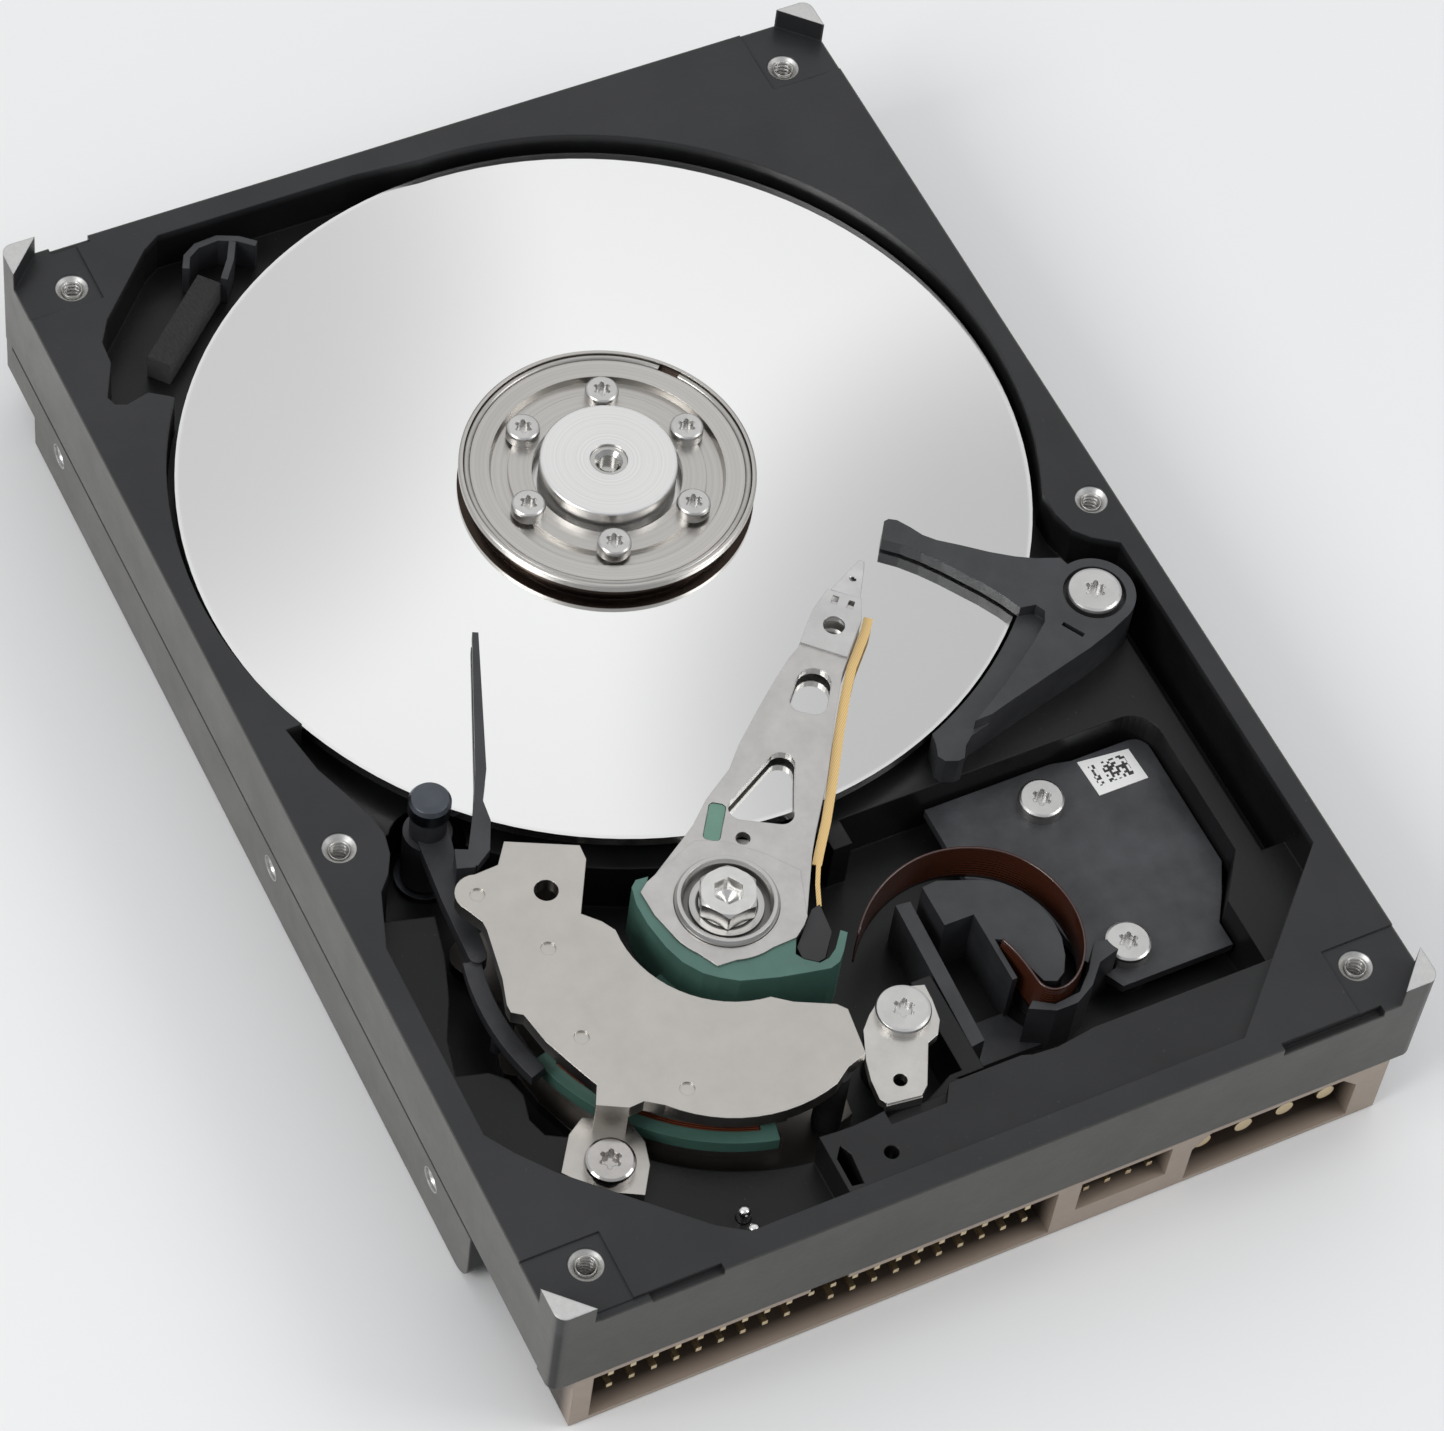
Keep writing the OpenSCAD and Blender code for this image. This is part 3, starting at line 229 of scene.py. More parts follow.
def side_holes(side):
    """Mouths of the three mounting holes in the left or right wall."""
    return [Vector(mounts[f"{side}_side_hole_{place}"]["pos_m"]) for place in ("front", "middle", "rear")]


def e_coat():
    """Dark, satin dip coating of the casting, with bare metal on the corner pads and in the screw holes, painted
    shade in the pockets below the deck and painted light on the outer walls.
    """
    s = Shader("cast_e_coat", (0.026, 0.0265, 0.028), 0.36, Specular_IOR_Level=0.3)
    cloud = s.band(s.noise(18.0, 4.0, 0.6), 0.35, 0.7)
    deck = s.mix(cloud, (0.022, 0.0225, 0.0235), (0.031, 0.0315, 0.033))
    # painted shade: below the deck the pockets are coloured near black, as if they lay in shade
    shaded_pockets = s.mix(cloud, (0.006, 0.006, 0.0065), (0.011, 0.0112, 0.012))
    coat = s.mix(s.band(s.axis("Z"), 20.4, 21.2), shaded_pockets, deck)
    # painted light: the outer walls are coloured paler than the deck, the left and right walls more than the front
    # and back, for the light that falls on them
    coat = s.mix(s.band(s.math("ABSOLUTE", s.axis("Y")), 73.3, 73.45), coat, (0.062, 0.060, 0.055))
    coat = s.mix(s.band(s.math("ABSOLUTE", s.axis("X")), 50.6, 50.75), coat, (0.098, 0.095, 0.087))
    dust = s.band(s.noise(0.5, 2.0, 0.6), 0.71, 0.78, 0.0, 0.3)
    coat = s.mix(dust, coat, (0.09, 0.09, 0.09))
    bare = s.band(s.axis("Z"), 24.12, 24.18)
    cover_reach = s.band(s.axis("Z"), 14.4, 14.5)
    bottom_reach = s.band(s.axis("Z"), 4.7, 4.8, 1.0, 0.0)
    side_reach = s.band(s.math("ABSOLUTE", s.axis("X")), 46.0, 46.1)
    holes = [(s.radius(hole), 1.8, cover_reach) for hole in cover_holes()]
    holes += [(s.radius(hole), 1.5, bottom_reach) for hole in pattern("bottom_screw_holes")]
    holes += [(s.radius(hole, "X"), 1.5, side_reach) for hole in side_holes("left")]
    for r, mouth, reach in holes:
        bore = s.band(r, mouth - 0.05, mouth + 0.05, 1.0, 0.0)
        bare = s.math("MAXIMUM", bare, s.math("MULTIPLY", reach, bore))
    metal = s.mix(s.noise(0.7, 4.0, 0.7), (0.52, 0.52, 0.51), (0.72, 0.71, 0.69))
    s.set("Base Color", s.mix(bare, coat, metal))
    s.set("Metallic", bare)
    smears = s.band(s.noise(9.0, 5.0, 0.65), 0.3, 0.75, 0.28, 0.42)
    s.set("Roughness", s.math("ADD", smears, s.math("MULTIPLY", bare, 0.12)))
    edges = s.worn_edges(0.25)
    peel = s.bump(s.noise(0.55, 3.0, 0.55), 0.03, 0.5, under=edges)
    s.bump(s.noise(6.0, 3.0, 0.5), 0.12, 0.4, under=peel)
    return s.material


def satin_metal(name, color, roughness=0.3, grain=0.25, stretch=1.0, turn=0.0, wear=0.5, mottle=0.12):
    """Plated or milled metal: clouded tone, fine grain along one direction and a few scuffs."""
    s = Shader(name, color, roughness, 1.0)
    dark = tuple(c * (1 - mottle) for c in color)
    light = tuple(min(1.0, c * (1 + mottle / 2)) for c in color)
    tone = s.mix(s.band(s.noise(3.5, 5.0, 0.65), 0.3, 0.7), dark, light)
    s.set("Base Color", tone)
    along = s.stretched(grain * 8 * stretch, grain, grain, turn)
    lines = s.noise(1.0, 4.0, 0.6, place=along)
    scuffs = s.band(s.noise(1.3, 6.0, 0.75), 0.45, 0.75, 0.0, 0.22 * wear)
    grained = s.band(lines, 0.2, 0.8, roughness * 0.8, roughness * 1.25)
    s.set_roughness(s.math("ADD", grained, scuffs), roughness)
    fine = s.bump(lines, 0.005, 0.3, under=s.worn_edges(0.12))
    s.bump(s.noise(2.2, 3.0, 0.5), 0.015, 0.25, under=fine)
    return s.material


def turned_metal(name, color, centre, roughness=0.25, pitch=0.18, depth=0.008, shade_zones=()):
    """Metal faced on a lathe, with rings about a vertical axis. A shade zone is painted shade: a ring
    (from radius, to radius, below height, colour), in mm, coloured dark where a recess or undercut lies in shade."""
    s = Shader(name, color, roughness, 1.0, Anisotropic=0.35)
    r = s.radius(centre)
    ring = s.add("ShaderNodeTexNoise", noise_dimensions="1D")
    ring.inputs["Scale"].default_value = 1 / pitch
    ring.inputs["Detail"].default_value = 3.0
    s.link(r, ring.inputs["W"])
    rings = ring.outputs["Fac"]
    tone = s.mix(s.band(rings, 0.3, 0.7), tuple(c * 0.9 for c in color), color)
    for start, end, top, shade_tone in shade_zones:
        beyond = s.band(r, start - 0.05, start + 0.05)
        within = s.band(r, end - 0.05, end + 0.05, 1.0, 0.0)
        below = s.band(s.axis("Z"), top - 0.05, top + 0.05, 1.0, 0.0)
        inside = s.math("MULTIPLY", s.math("MULTIPLY", beyond, within), below)
        tone = s.mix(inside, tone, shade_tone)
    s.set("Base Color", tone)
    s.set_roughness(s.band(rings, 0.25, 0.75, roughness * 0.75, roughness * 1.3), roughness)
    fine = s.bump(rings, depth, 0.5, under=s.worn_edges(0.12))
    s.bump(s.noise(3.0, 3.0, 0.5), 0.02, 0.2, under=fine)
    return s.material


def platter_mirror():
    """Sputtered mirror with a faint haze and a plain outer edge."""
    s = Shader("platter_mirror", (0.80, 0.80, 0.785), 0.035, 1.0)
    r = s.radius(SPINDLE)
    s.set("Base Color", s.mix(s.band(r, 18.0, 46.0), (0.90, 0.90, 0.885), (0.86, 0.86, 0.845)))
    edge = s.band(r, 46.9, 47.3, 0.0, 0.15)
    s.set("Roughness", s.math("ADD", s.band(s.noise(24.0, 2.0), 0.3, 0.7, 0.028, 0.05), edge))
    return s.material


def plastic(name, color, roughness=0.45, grain=0.35, depth=0.02, tone=0.2, specks=0.0):
    """Moulded plastic with a fine spark-eroded grain and a slightly uneven tone."""
    s = Shader(name, color, roughness)
    dark = tuple(c * (1 - tone) for c in color)
    light = tuple(min(1.0, c * (1 + tone)) for c in color)
    base = s.mix(s.band(s.noise(5.0, 4.0, 0.6), 0.3, 0.7), dark, light)
    s.set("Base Color", base)
    if specks:
        s.speckle(specks, 0.25, tuple(min(1.0, c * 3 + 0.05) for c in color), base)
    s.set("Roughness", s.band(s.noise(1.6, 4.0, 0.6), 0.3, 0.7, roughness * 0.85, roughness * 1.15))
    fine = s.bump(s.noise(grain, 3.0, 0.6), depth, 0.6, under=s.worn_edges(0.12))
    s.bump(s.noise(4.0, 2.0, 0.5), 0.05, 0.3, under=fine)
    return s.material


def socket_plastic():
    """Beige moulding, with painted shade: coloured dark brown over the first 2 mm inside the sockets."""
    s = Shader("beige_housing", (0.42, 0.335, 0.265), 0.4)
    # painted shade: the colour fades from beige to dark brown going into the sockets
    depth = s.band(s.axis("Y"), -73.2, -71.2)
    beige = s.mix(s.noise(5.0, 4.0, 0.6), (0.32, 0.255, 0.20), (0.38, 0.305, 0.245))
    s.set("Base Color", s.mix(depth, beige, (0.045, 0.032, 0.024)))
    s.set("Roughness", s.band(s.noise(1.6, 4.0, 0.6), 0.3, 0.7, 0.36, 0.48))
    s.bump(s.noise(0.35, 3.0, 0.6), 0.012, 0.5, under=s.worn_edges(0.15))
    return s.material


def felt(name, color):
    """Pressed filter fibre."""
    s = Shader(name, color, 0.95, Sheen_Weight=0.2, Sheen_Roughness=0.4)
    fibres = s.noise(0.25, 6.0, 0.75, place=s.stretched(1.0, 3.0, 1.0))
    dark, light = (tuple(c * share for c in color) for share in (0.6, 1.6))
    s.set("Base Color", s.mix(s.band(fibres, 0.3, 0.7), dark, light))
    s.bump(fibres, 0.15, 1.0)
    return s.material


def flex_film(name, color, trace, pitch, low, high):
    """Polyimide film on edge, with copper traces that show through along its length."""
    s = Shader(name, color, 0.22, Coat_Weight=0.6, Coat_Roughness=0.12, Specular_IOR_Level=0.6)
    z = s.axis("Z")
    wave = s.math("PINGPONG", s.math("MULTIPLY", z, 1 / pitch), 0.5)
    lines = s.band(wave, 0.2, 0.26)
    inside = s.math("MULTIPLY", s.band(z, low, low + 0.1), s.band(z, high, high - 0.1))
    lines = s.math("MULTIPLY", lines, inside)
    cloud = s.noise(2.5, 3.0, 0.6)
    film = s.mix(s.band(cloud, 0.3, 0.7), tuple(c * 0.7 for c in color), color)
    s.set("Base Color", s.mix(lines, film, trace))
    s.set("Roughness", s.band(cloud, 0.3, 0.7, 0.16, 0.26))
    s.bump(lines, 0.02, 0.7)
    return s.material


def gold_flex():
    """Amber film with gold tracks along the arm."""
    s = Shader("gold_flex_film", (0.72, 0.50, 0.20), 0.3, Coat_Weight=0.5, Coat_Roughness=0.15)
    track_pitch = 0.2
    across = s.axis("Y", s.stretched(1.0, 1.0, 1.0, ARM_ANGLE - math.radians(8)))
    wave = s.math("PINGPONG", s.math("MULTIPLY", across, 1 / track_pitch), 0.5)
    tracks = s.band(wave, 0.2, 0.3)
    s.set("Base Color", s.mix(tracks, (0.80, 0.56, 0.24), (0.62, 0.40, 0.13)))
    s.bump(tracks, 0.02, 0.5)
    return s.material


def coil_wire():
    """Layers of varnished copper wire round the coil's opening."""
    s = Shader("coil_wire", (0.28, 0.07, 0.03), 0.28, 0.55, Coat_Weight=0.5, Coat_Roughness=0.1)
    wire_pitch = 0.24
    layers = s.math("ADD", s.radius(PIVOT), s.axis("Z"))
    turns = s.math("PINGPONG", s.math("MULTIPLY", layers, 1 / wire_pitch), 0.5)
    wires = s.band(turns, 0.0, 0.5)
    s.set("Base Color", s.mix(wires, (0.10, 0.02, 0.01), (0.42, 0.13, 0.06)))
    s.bump(wires, 0.06, 0.8)
    return s.material


def motor_wire():
    """Enamelled copper wire wound round the stator's teeth."""
    s = Shader("motor_wire", (0.60, 0.25, 0.08), 0.28, 0.8)
    wire_pitch = 0.3
    turns = s.math("PINGPONG", s.math("MULTIPLY", s.radius(SPINDLE), 1 / wire_pitch), 0.5)
    wires = s.band(turns, 0.0, 0.5)
    s.set("Base Color", s.mix(wires, (0.25, 0.08, 0.02), (0.70, 0.32, 0.12)))
    s.bump(wires, 0.08, 0.8)
    return s.material


def code_label():
    """White paper label: a square block of random cells, and a column of short bars beside it."""
    low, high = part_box("bar_label")
    s = Shader("printed_label", (0.86, 0.86, 0.84), 0.45)
    width, height = (high.x - low.x) / MM, (high.y - low.y) / MM
    local = s.vector_math("SUBTRACT", s.place, (low.x / MM, low.y / MM, 0.0))
    x, y = s.axis("X", local), s.axis("Y", local)
    cell = 0.3
    snapped = s.vector_math("SNAP", s.vector_math("MULTIPLY", local, (1.0, 1.0, 0.0)), (cell, cell, 1.0))
    random_cell = s.add("ShaderNodeTexWhiteNoise", noise_dimensions="3D")
    s.link(snapped, random_cell.inputs["Vector"])
    ink = s.band(random_cell.outputs["Value"], 0.50, 0.51)

    def window(value, start, end):
        return s.math("MULTIPLY", s.math("GREATER_THAN", value, start), s.math("LESS_THAN", value, end))

    rows = window(y, height * 0.22, height * 0.80)
    code = s.math("MULTIPLY", window(x, width * 0.34, width * 0.82), rows)
    bar = s.math("MULTIPLY", window(x, width * 0.12, width * 0.24), rows)
    printed = s.math("MULTIPLY", s.math("MAXIMUM", code, bar), ink)
    s.set("Base Color", s.mix(printed, (0.86, 0.86, 0.84), (0.03, 0.03, 0.03)))
    s.bump(s.noise(0.3, 4.0, 0.6), 0.01, 0.3)
    return s.material


def solder_mask():
    """Green circuit board with copper tracks and holes that show through the mask."""
    s = Shader("solder_mask", (0.012, 0.085, 0.035), 0.3, Coat_Weight=0.4, Coat_Roughness=0.1)
    brick = s.add("ShaderNodeTexBrick", offset=0.37)
    for socket, value in (("Scale", 0.22), ("Mortar Size", 0.035), ("Brick Width", 1.4), ("Row Height", 0.32)):
        brick.inputs[socket].default_value = value
    s.link(s.place, brick.inputs["Vector"])
    tracks = brick.outputs["Fac"]
    vias = s.band(s.cells(2.4), 0.12, 0.14, 1.0, 0.0)
    copper = s.math("MAXIMUM", tracks, vias)
    board = s.mix(copper, (0.010, 0.075, 0.032), (0.030, 0.150, 0.060))
    clouds = s.band(s.noise(8.0, 3.0), 0.3, 0.7)
    s.set("Base Color", s.mix(clouds, board, s.mix(0.5, board, (0.02, 0.11, 0.05))))
    s.bump(copper, 0.03, 0.5)
    return s.material


def paint_nodes():
    """Gives every CAD node its finish."""
    steel = (0.60, 0.585, 0.56)
    screw = satin_metal("screw_nickel", (0.62, 0.61, 0.595), 0.3, 0.2, wear=0.3)
    pins = satin_metal("pin_plating", (0.80, 0.66, 0.42), 0.25, 0.15)
    yoke = satin_metal("yoke_nickel_plate", (0.55, 0.525, 0.49), 0.27, 0.5, stretch=0.3, mottle=0.06)
    dark_plastic = plastic("dark_glass_filled_plastic", (0.032, 0.033, 0.036), 0.42, 0.3, 0.03, 0.25, specks=0.3)
    black_plastic = plastic("black_plastic", (0.018, 0.018, 0.019), 0.35, 0.4)
    finish = {
        "base_casting": e_coat(),
        "filter_holder": dark_plastic,
        "recirculation_filter": felt("filter_felt", (0.018, 0.018, 0.018)),
        "yoke_foot": yoke,
        "vcm_top_plate": yoke,
        # painted shade: the lower yoke plate has the same nickel plating as the yoke, coloured much darker for the
        # shade and dark reflections under the coil
        "vcm_bottom_plate": satin_metal(
            "lower_yoke_plate_shaded", (0.13, 0.12, 0.11), 0.24, 0.5, wear=0.2, mottle=0.06),
        # painted shade: the lower magnet's nickel is coloured darker than the top magnet's, as it lies in shade
        # under the coil
        "vcm_bottom_magnet": satin_metal("magnet_nickel", (0.20, 0.19, 0.18), 0.3, 0.4, wear=0.1, mottle=0.05),
        "vcm_top_magnet": satin_metal("magnet_nickel_top", (0.45, 0.44, 0.43), 0.3, 0.4, wear=0.1, mottle=0.05),
        "crash_stops": plastic("stop_rubber", (0.02, 0.02, 0.02), 0.7, 0.5),
        "latch_bracket": satin_metal("bracket_nickel", (0.62, 0.60, 0.565), 0.25, 0.4, stretch=0.4),
        "air_dam": dark_plastic,
        "flex_bracket": plastic(
            "bracket_black_oxide", (0.042, 0.043, 0.047), 0.36, 1.2, 0.06, 0.35, specks=0.25),
        "flex_header": black_plastic,
        "bar_label": code_label(),
        "flex_guide": dark_plastic,
        "latch_post": satin_metal("post_black_steel", (0.10, 0.11, 0.125), 0.3, 0.3),
        "latch_lever": dark_plastic,
        "locating_pins": satin_metal("pin_steel", (0.85, 0.84, 0.82), 0.15, 0.2),
        "pivot_shaft": turned_metal("pivot_steel", steel, PIVOT, 0.3),
        "pivot_screw": satin_metal("pivot_screw_steel", (0.74, 0.73, 0.71), 0.2, 0.25),
        # painted shade: dark rings in the recess round the pivot screw's head, coloured as if in shade
        "pivot_bearing": turned_metal(
            "bearing_steel", (0.58, 0.57, 0.55), PIVOT, 0.22, 0.3, 0.01,
            shade_zones=((3.95, 4.62, 22.0, (0.16, 0.155, 0.15)), (3.0, 3.3, 22.0, (0.08, 0.077, 0.074)))),
        "motor_base": turned_metal("motor_base_aluminium", (0.6, 0.6, 0.6), SPINDLE),
        "bearing_sleeve": turned_metal("sleeve_bronze", (0.55, 0.42, 0.22), SPINDLE),
        "stator_core": satin_metal("stator_laminations", (0.25, 0.25, 0.27), 0.4, 0.2),
        "stator_windings": motor_wire(),
        "circuit_board": solder_mask(),
        "board_chips": plastic("chip_epoxy", (0.015, 0.015, 0.016), 0.5, 0.2),
        "board_screws": screw,
        "insulator_sheet": plastic("insulator_film", (0.02, 0.02, 0.02), 0.4, 1.5),
        "connector_housing": socket_plastic(),
        "interface_pins": pins,
        "jumper_pins": pins,
        "power_pins": pins,
        "spindle_hub": turned_metal("hub_aluminium", (0.84, 0.83, 0.815), SPINDLE, 0.27, 0.22, 0.012),
        "spindle_shaft": turned_metal("shaft_steel", (0.55, 0.54, 0.52), SPINDLE, 0.2),
        "rotor_magnet": satin_metal("ring_magnet", (0.15, 0.15, 0.16), 0.5, 0.3),
        "platter": platter_mirror(),
        # painted shade: the clamp's flank under its rim, down to the platter, is coloured dark brown as if in
        # shade
        "disk_clamp": turned_metal("clamp_nickel", (0.56, 0.54, 0.51), SPINDLE, 0.26, 0.35, 0.008,
                                   shade_zones=((15.3, 17.0, 21.05, (0.055, 0.040, 0.033)),)),
        "balance_ring": satin_metal("ring_wire", (0.48, 0.465, 0.44), 0.25, 0.2),
        "actuator_arm": satin_metal("arm_aluminium", (0.57, 0.555, 0.535), 0.33, 0.16, 0.8, ARM_ANGLE, 0.8),
        "coil_former": plastic("green_overmould", (0.070, 0.155, 0.125), 0.38, 0.4, 0.015, 0.12),
        "arm_damper": plastic("green_insert", (0.13, 0.26, 0.20), 0.4, 0.4, 0.015, 0.12),
        "voice_coil": coil_wire(),
        "flex_clip": black_plastic,
        "arm_flex": gold_flex(),
        "base_plates": satin_metal("suspension_steel", (0.62, 0.61, 0.60), 0.24, 0.15, 1.0, ARM_ANGLE),
        "load_beams": satin_metal("load_beam_steel", (0.66, 0.65, 0.64), 0.22, 0.12, 1.0, ARM_ANGLE),
        "head_sliders": plastic("slider_ceramic", (0.03, 0.03, 0.035), 0.25, 0.2),
    }
    for name in ("latch_bracket_screw", "air_dam_screw", "flex_bracket_screws", "clamp_screws"):
        finish[name] = screw
    finish["yoke_foot_screw"] = satin_metal("screw_bright_nickel", (0.50, 0.48, 0.46), 0.13, 0.2, wear=0.1)
    finish["flex_cable"] = black_plastic
    for name, material in finish.items():
        node = nodes[name]
        if not node.material_slots:
            node.data.materials.append(material)
        for material_slot in node.material_slots:
            material_slot.material = material


# ---------------------------------------------------------------- pieces made here


def new_piece(name, verts, faces, material, body, smooth=True):
    """A mesh piece that moves with one body of the CAD."""
    mesh = bpy.data.meshes.new(name)
    mesh.from_pydata(verts, [], faces)
    shape = bmesh.new()
    shape.from_mesh(mesh)
    bmesh.ops.recalc_face_normals(shape, faces=shape.faces)
    shape.to_mesh(mesh)
    shape.free()
    mesh.polygons.foreach_set("use_smooth", [smooth] * len(mesh.polygons))
    mesh.materials.append(material)
    piece = bpy.data.objects.new(name, mesh)
    bpy.context.scene.collection.objects.link(piece)
    if body:
        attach(piece, body)
    return piece


def curve_point(a, b, c, d, t):
    """Point of a cubic curve with end points a and d."""
    u = 1 - t
    return tuple(u ** 3 * a[k] + 3 * u * u * t * b[k] + 3 * u * t * t * c[k] + t ** 3 * d[k] for k in (0, 1))


def ribbon_route():
    """The ribbon's way in plan, in mm, from the clip on the actuator round its loop to the guide."""
    legs = (
        ((-0.6, -41.6), (3.6, -36.0), (11.0, -33.4), (17.4, -37.6)),
        ((17.4, -37.6), (22.0, -40.6), (23.4, -47.4), (21.0, -52.1)),
        ((21.0, -52.1), (18.9, -56.2), (14.8, -57.0), (14.3, -54.2)),
        ((14.3, -54.2), (14.1, -52.0), (14.0, -50.0), (13.2, -48.1)),
    )
    route = [curve_point(*leg, step / 20) for leg in legs for step in range(20)]
    return route + [legs[-1][-1]]


def make_flex_ribbon():
    """The flex circuit on edge: a thin bowed film with a thicker bead along its top and bottom edges. In mm."""
    route = ribbon_route()
    low, high = 12.35, 17.95
    rows = 14
    half_film, half_bead, bow_depth = 0.06, 0.12, 0.1
    side = []
    for row in range(rows + 1):
        share = row / rows
        half = half_bead if row in (0, rows) else half_film
        side.append((low + (high - low) * share, half, bow_depth * math.sin(math.pi * share)))
    profile = [(bow + half, z) for z, half, bow in side] + [(bow - half, z) for z, half, bow in reversed(side)]
    verts, faces = [], []
    for index, (x, y) in enumerate(route):
        before, after = route[max(index - 1, 0)], route[min(index + 1, len(route) - 1)]
        along = Vector((after[0] - before[0], after[1] - before[1])).normalized()
        for offset, z in profile:
            verts.append(((x - along.y * offset) * MM, (y + along.x * offset) * MM, z * MM))
    around = len(profile)
    for index in range(len(route) - 1):
        for k in range(around):
            a, b = index * around + k, index * around + (k + 1) % around
            faces.append((a, b, b + around, a + around))
    faces.append(tuple(range(around)))
    faces.append(tuple(range((len(route) - 1) * around, len(route) * around)))
    film = flex_film("flex_film", (0.050, 0.014, 0.008), (0.10, 0.030, 0.014), 0.42, 12.7, 17.6)
    ribbon = new_piece("flex_ribbon", verts, faces, film, None)
    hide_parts("flex_cable")
    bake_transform(ribbon)


def ring_of_profile(place, profile, steps=32):
    """Vertices and faces of a closed profile of (radius, height) in mm, turned about a placement's Z axis."""
    verts, faces = [], []
    for step in range(steps):
        turn = 2 * math.pi * step / steps
        verts += [place @ Vector((r * MM * math.cos(turn), r * MM * math.sin(turn), z * MM)) for r, z in profile]
    count = len(profile)
    for step in range(steps):
        here, there = step * count, (step + 1) % steps * count
        faces += [(here + k, here + (k + 1) % count, there + (k + 1) % count, there + k) for k in range(count)]
    return verts, faces


def thread_profile(top, pitch, turns, root, crest):
    """Section of a tapped hole's thread in mm, hanging down from top."""
    back = root + 0.02
    profile = [(back, top), (back, top - turns * pitch)]
    for turn in range(turns, 0, -1):
        profile += [(root, top - turn * pitch), (crest, top - (turn - 0.5) * pitch)]
    return profile


def make_hole_threads():
    """Bright thread ridges inside the cover's screw holes and the mounting holes in the sides and bottom."""
    steel = satin_metal("thread_steel", (0.72, 0.71, 0.69), 0.25, 0.2)
    cover_thread = thread_profile(21.2, 0.6, 8, 1.1, 0.96)
    side_thread = thread_profile(50.5, 0.8, 5, 1.36, 1.18)
    bottom_thread = thread_profile(-0.3, 0.8, 5, 1.36, 1.18)
    holes = [(Matrix.Translation((hole.x, hole.y, 0)), cover_thread) for hole in cover_holes()]
    for hole in pattern("bottom_screw_holes"):
        downward = Matrix.Rotation(math.pi, 4, "X")
        holes.append((Matrix.Translation((hole.x, hole.y, 0)) @ downward, bottom_thread))
    for side, turn in (("left", -90), ("right", 90)):
        for hole in side_holes(side):
            outward = Matrix.Rotation(math.radians(turn), 4, "Y")
            holes.append((Matrix.Translation((0, hole.y, hole.z)) @ outward, side_thread))
    verts, faces = [], []
    for place, profile in holes:
        more_verts, more_faces = ring_of_profile(place, profile)
        faces += [tuple(v + len(verts) for v in face) for face in more_faces]
        verts += more_verts
    new_piece("tapped_hole_threads", verts, faces, steel, "base", smooth=False)


def box_mesh(low, high):
    """Vertices and faces of a box between two corners in mm, with chamfers round its lower face."""
    (x0, y0, z0), (x1, y1, z1) = low, high
    cut = min(x1 - x0, y1 - y0) * 0.12
    rings = [(0.0, z1), (0.0, z0 + cut), (cut, z0)]
    verts = []
    for inset, z in rings:
        left, right, front, rear = x0 + inset, x1 - inset, y0 + inset, y1 - inset
        corners = ((left, front), (right, front), (right, rear), (left, rear))
        verts += [(x * MM, y * MM, z * MM) for x, y in corners]
    faces = [(0, 1, 2, 3), (8, 9, 10, 11)]
    for ring in (0, 4):
        faces += [(ring + k, ring + (k + 1) % 4, ring + 4 + (k + 1) % 4, ring + 4 + k) for k in range(4)]
    return verts, faces


def make_board_parts():
    """Small capacitors and resistors soldered under the circuit board, clear of its chips and screws. In mm."""
    picker = random.Random(7)
    grid, room, tries = 1.27, 0.5, 260
    board_low, board_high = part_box("circuit_board")
    face_z = board_low.z / MM
    parts = {"ceramic": ([], []), "resistor": ([], []), "solder": ([], [])}
    taken = list(BOARD_KEEP_OUT)
    for _ in range(tries):
        x = picker.uniform(board_low.x / MM + 3, board_high.x / MM - 3)
        y = picker.uniform(board_low.y / MM + 3, board_high.y / MM - 9)
        long, wide = picker.choice(((1.6, 0.8), (2.0, 1.25), (3.2, 1.6)))
        if picker.random() < 0.5:
            long, wide = wide, long
        x, y = round(x / grid) * grid, round(y / grid) * grid
        span = (x - long / 2 - room, y - wide / 2 - room, x + long / 2 + room, y + wide / 2 + room)
        if any(span[0] < t[2] and span[2] > t[0] and span[1] < t[3] and span[3] > t[1] for t in taken):
            continue
        taken.append(span)
        kind = picker.choice(("ceramic", "resistor"))
        drop = 0.7 if kind == "ceramic" else 0.45
        body = (x - long / 2, y - wide / 2, x + long / 2, y + wide / 2)
        for look, (x0, y0, x1, y1), tall in [(kind, body, drop)] + end_caps(body, drop):
            verts, faces = parts[look]
            more_verts, more_faces = box_mesh((x0, y0, face_z - tall), (x1, y1, face_z - 0.01))
            faces += [tuple(v + len(verts) for v in face) for face in more_faces]
            verts += more_verts
    looks = {
        "ceramic": plastic("capacitor_ceramic", (0.36, 0.27, 0.17), 0.4, 0.2, 0.01),
        "resistor": plastic("resistor_body", (0.02, 0.02, 0.022), 0.4, 0.2, 0.01),
        "solder": satin_metal("solder", (0.62, 0.62, 0.62), 0.3, 0.2),
    }
    for kind, (verts, faces) in parts.items():
        new_piece("board_" + kind, verts, faces, looks[kind], "base", smooth=False)


def end_caps(span, drop):
    """Solder caps at both ends of a small part, a little proud of it."""
    x0, y0, x1, y1 = span
    share, out, proud = 0.22, 0.1, 0.05
    if x1 - x0 > y1 - y0:
        cap = (x1 - x0) * share
        ends = ((x0 - out, y0 - proud, x0 + cap, y1 + proud), (x1 - cap, y0 - proud, x1 + out, y1 + proud))
    else:
        cap = (y1 - y0) * share
        ends = ((x0 - proud, y0 - out, x1 + proud, y0 + cap), (x0 - proud, y1 - cap, x1 + proud, y1 + out))
    return [("solder", end, drop + proud) for end in ends]


# ---------------------------------------------------------------- stage, light and camera


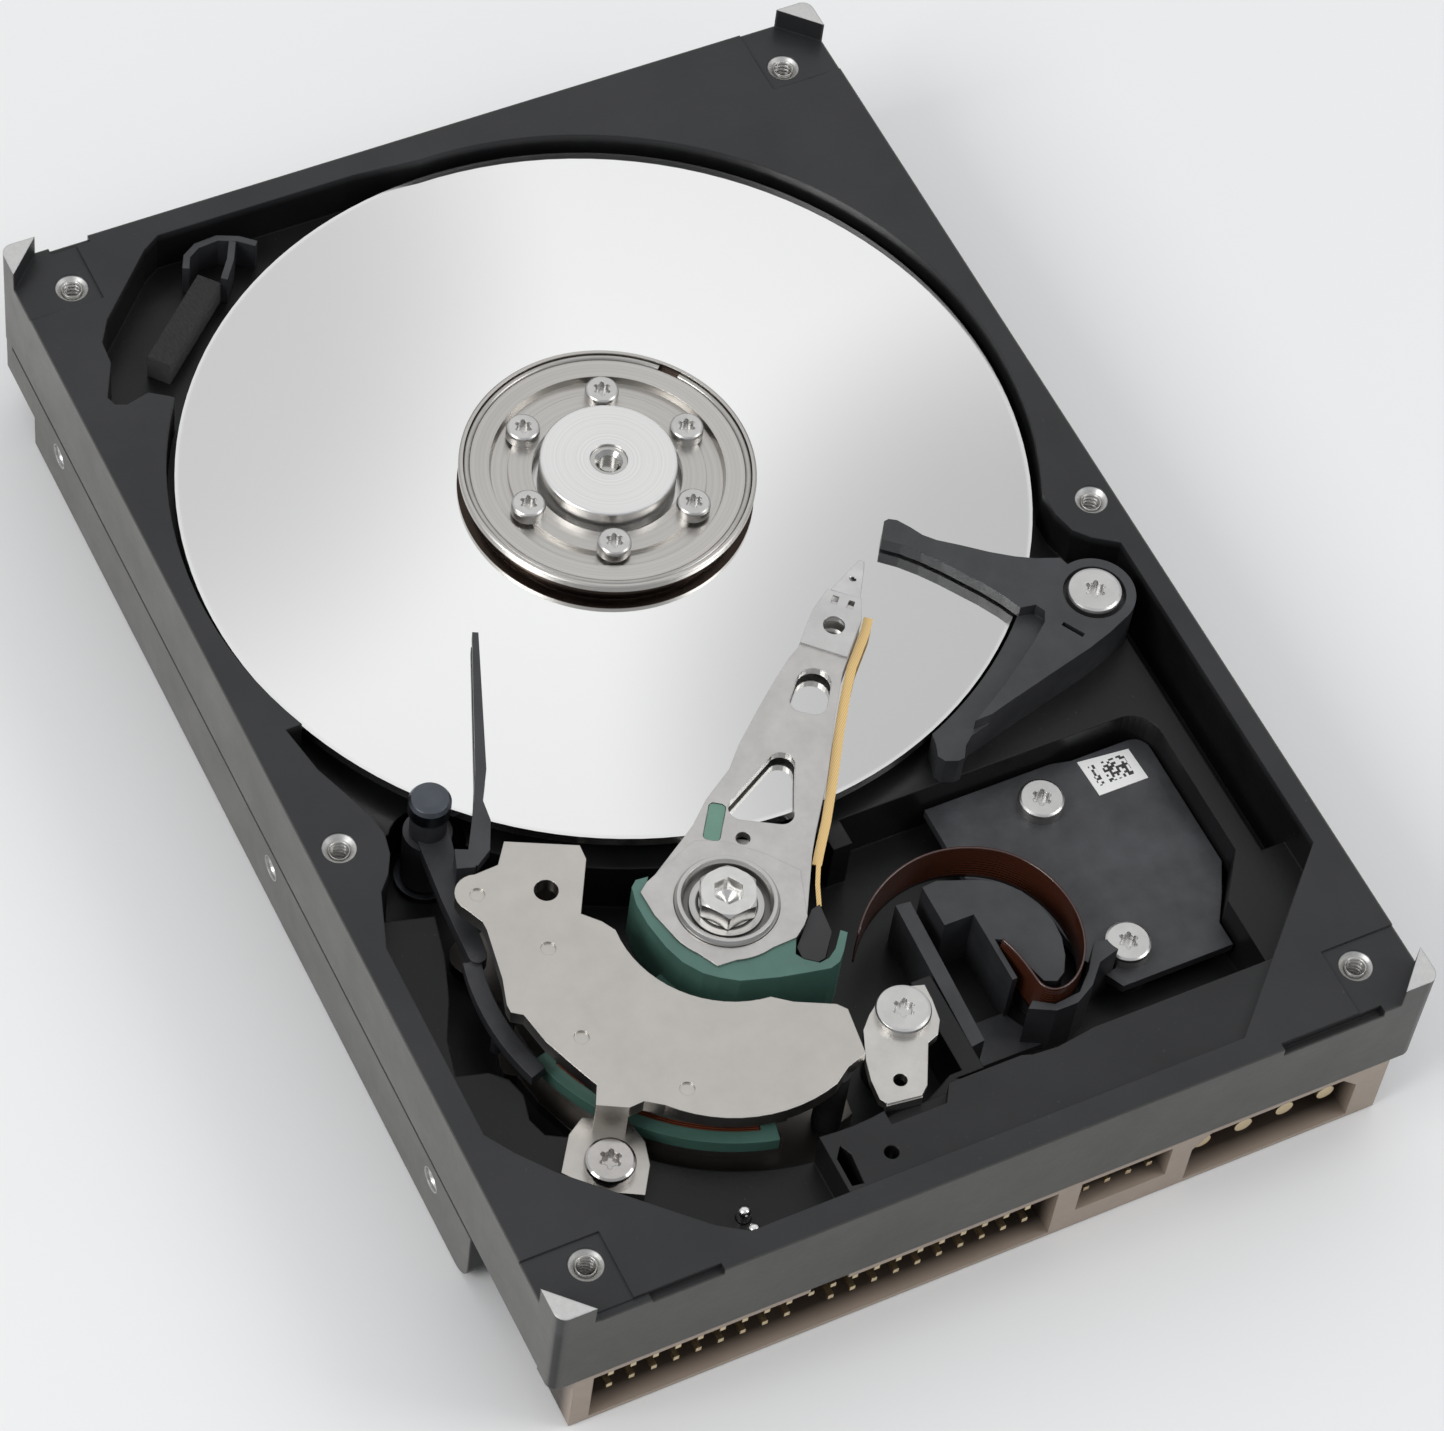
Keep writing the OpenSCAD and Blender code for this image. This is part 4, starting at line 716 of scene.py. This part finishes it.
def make_stage():
    """A wide pale floor."""
    mesh = bpy.data.meshes.new("floor")
    size = 3.0
    corners = [(-size, -size, 0), (size, -size, 0), (size, size, 0), (-size, size, 0)]
    mesh.from_pydata(corners, [], [(0, 1, 2, 3)])
    floor = bpy.data.objects.new("floor", mesh)
    bpy.context.scene.collection.objects.link(floor)
    floor.location.z = -0.0002
    s = Shader("pale_floor", (0.86, 0.86, 0.855), 0.6)
    s.set("Base Color", s.mix(s.noise(60.0, 3.0), (0.85, 0.85, 0.845), (0.87, 0.87, 0.865)))
    mesh.materials.append(s.material)


def make_light():
    """A pale studio dome with two soft grey flags that the platter mirrors, and two weak softboxes."""
    world = bpy.data.worlds.new("studio")
    world.use_nodes = True
    bpy.context.scene.world = world
    tree = world.node_tree
    background = tree.nodes["Background"]
    coordinates = tree.nodes.new("ShaderNodeTexCoord")
    toward = tree.nodes.new("ShaderNodeVectorMath")
    toward.operation = "DOT_PRODUCT"
    toward.inputs[1].default_value = Vector((0.20, 0.62, 0.76)).normalized()
    tree.links.new(coordinates.outputs["Generated"], toward.inputs[0])
    ramp = tree.nodes.new("ShaderNodeValToRGB")
    tree.links.new(toward.outputs["Value"], ramp.inputs["Fac"])
    ramp.color_ramp.elements[0].position = 0.0
    ramp.color_ramp.elements[0].color = (0.42, 0.43, 0.45, 1.0)
    ramp.color_ramp.elements[1].position = 1.0
    ramp.color_ramp.elements[1].color = (0.98, 0.99, 1.0, 1.0)
    middle = ramp.color_ramp.elements.new(0.72)
    middle.color = (0.70, 0.71, 0.73, 1.0)
    sky = ramp.outputs["Color"]
    # a flag is (direction, degrees to the edge of its core, degrees to its rim, share of the light it leaves)
    for flag, core, rim, shade in (
        ((0.210, 0.245, 0.446), 2.6, 5.6, 0.62),
        ((0.135, 0.335, 0.446), 1.6, 5.2, 0.70),
    ):
        near = tree.nodes.new("ShaderNodeVectorMath")
        near.operation = "DOT_PRODUCT"
        near.inputs[1].default_value = Vector(flag).normalized()
        tree.links.new(coordinates.outputs["Generated"], near.inputs[0])
        cover = tree.nodes.new("ShaderNodeMapRange")
        cover.interpolation_type = "SMOOTHSTEP"
        cover.inputs["From Min"].default_value = math.cos(math.radians(rim))
        cover.inputs["From Max"].default_value = math.cos(math.radians(core))
        cover.inputs["To Min"].default_value = 1.0
        cover.inputs["To Max"].default_value = shade
        tree.links.new(near.outputs["Value"], cover.inputs["Value"])
        dim = tree.nodes.new("ShaderNodeVectorMath")
        dim.operation = "SCALE"
        tree.links.new(sky, dim.inputs[0])
        tree.links.new(cover.outputs["Result"], dim.inputs["Scale"])
        sky = dim.outputs["Vector"]
    tree.links.new(sky, background.inputs["Color"])
    background.inputs["Strength"].default_value = 1.0
    for name, place, size, power in (
        ("softbox_left", (-0.9, -0.1, 0.8), 0.5, 5.0),
        ("softbox_right", (0.8, -0.5, 0.9), 0.5, 3.0),
    ):
        lamp = bpy.data.lights.new(name, "AREA")
        lamp.shape = "SQUARE"
        lamp.size = size
        lamp.energy = power
        holder = bpy.data.objects.new(name, lamp)
        holder.location = place
        holder.rotation_euler = (-Vector(place)).to_track_quat("-Z", "Y").to_euler()
        bpy.context.scene.collection.objects.link(holder)


def make_camera():
    """The photo's camera, solved from the casting's outline and the cover's screw holes."""
    place = Vector((-0.17715, -0.27448, 0.46802))
    aim = Vector((-0.00299, -0.01317, DECK_Z))
    roll = math.radians(9.104)
    data = bpy.data.cameras.new("camera")
    data.sensor_width = 36.0
    data.lens = 127.4
    data.clip_start = 0.01
    camera = bpy.data.objects.new("camera", data)
    look = (aim - place).to_track_quat("-Z", "Y").to_matrix()
    camera.matrix_world = Matrix.Translation(place) @ (look @ Matrix.Rotation(roll, 3, "Z")).to_4x4()
    bpy.context.scene.collection.objects.link(camera)
    bpy.context.scene.camera = camera


bpy.context.scene.view_settings.view_transform = "Standard"
make_camera()
make_light()
make_stage()
paint_nodes()
make_flex_ribbon()
make_hole_threads()
make_board_parts()
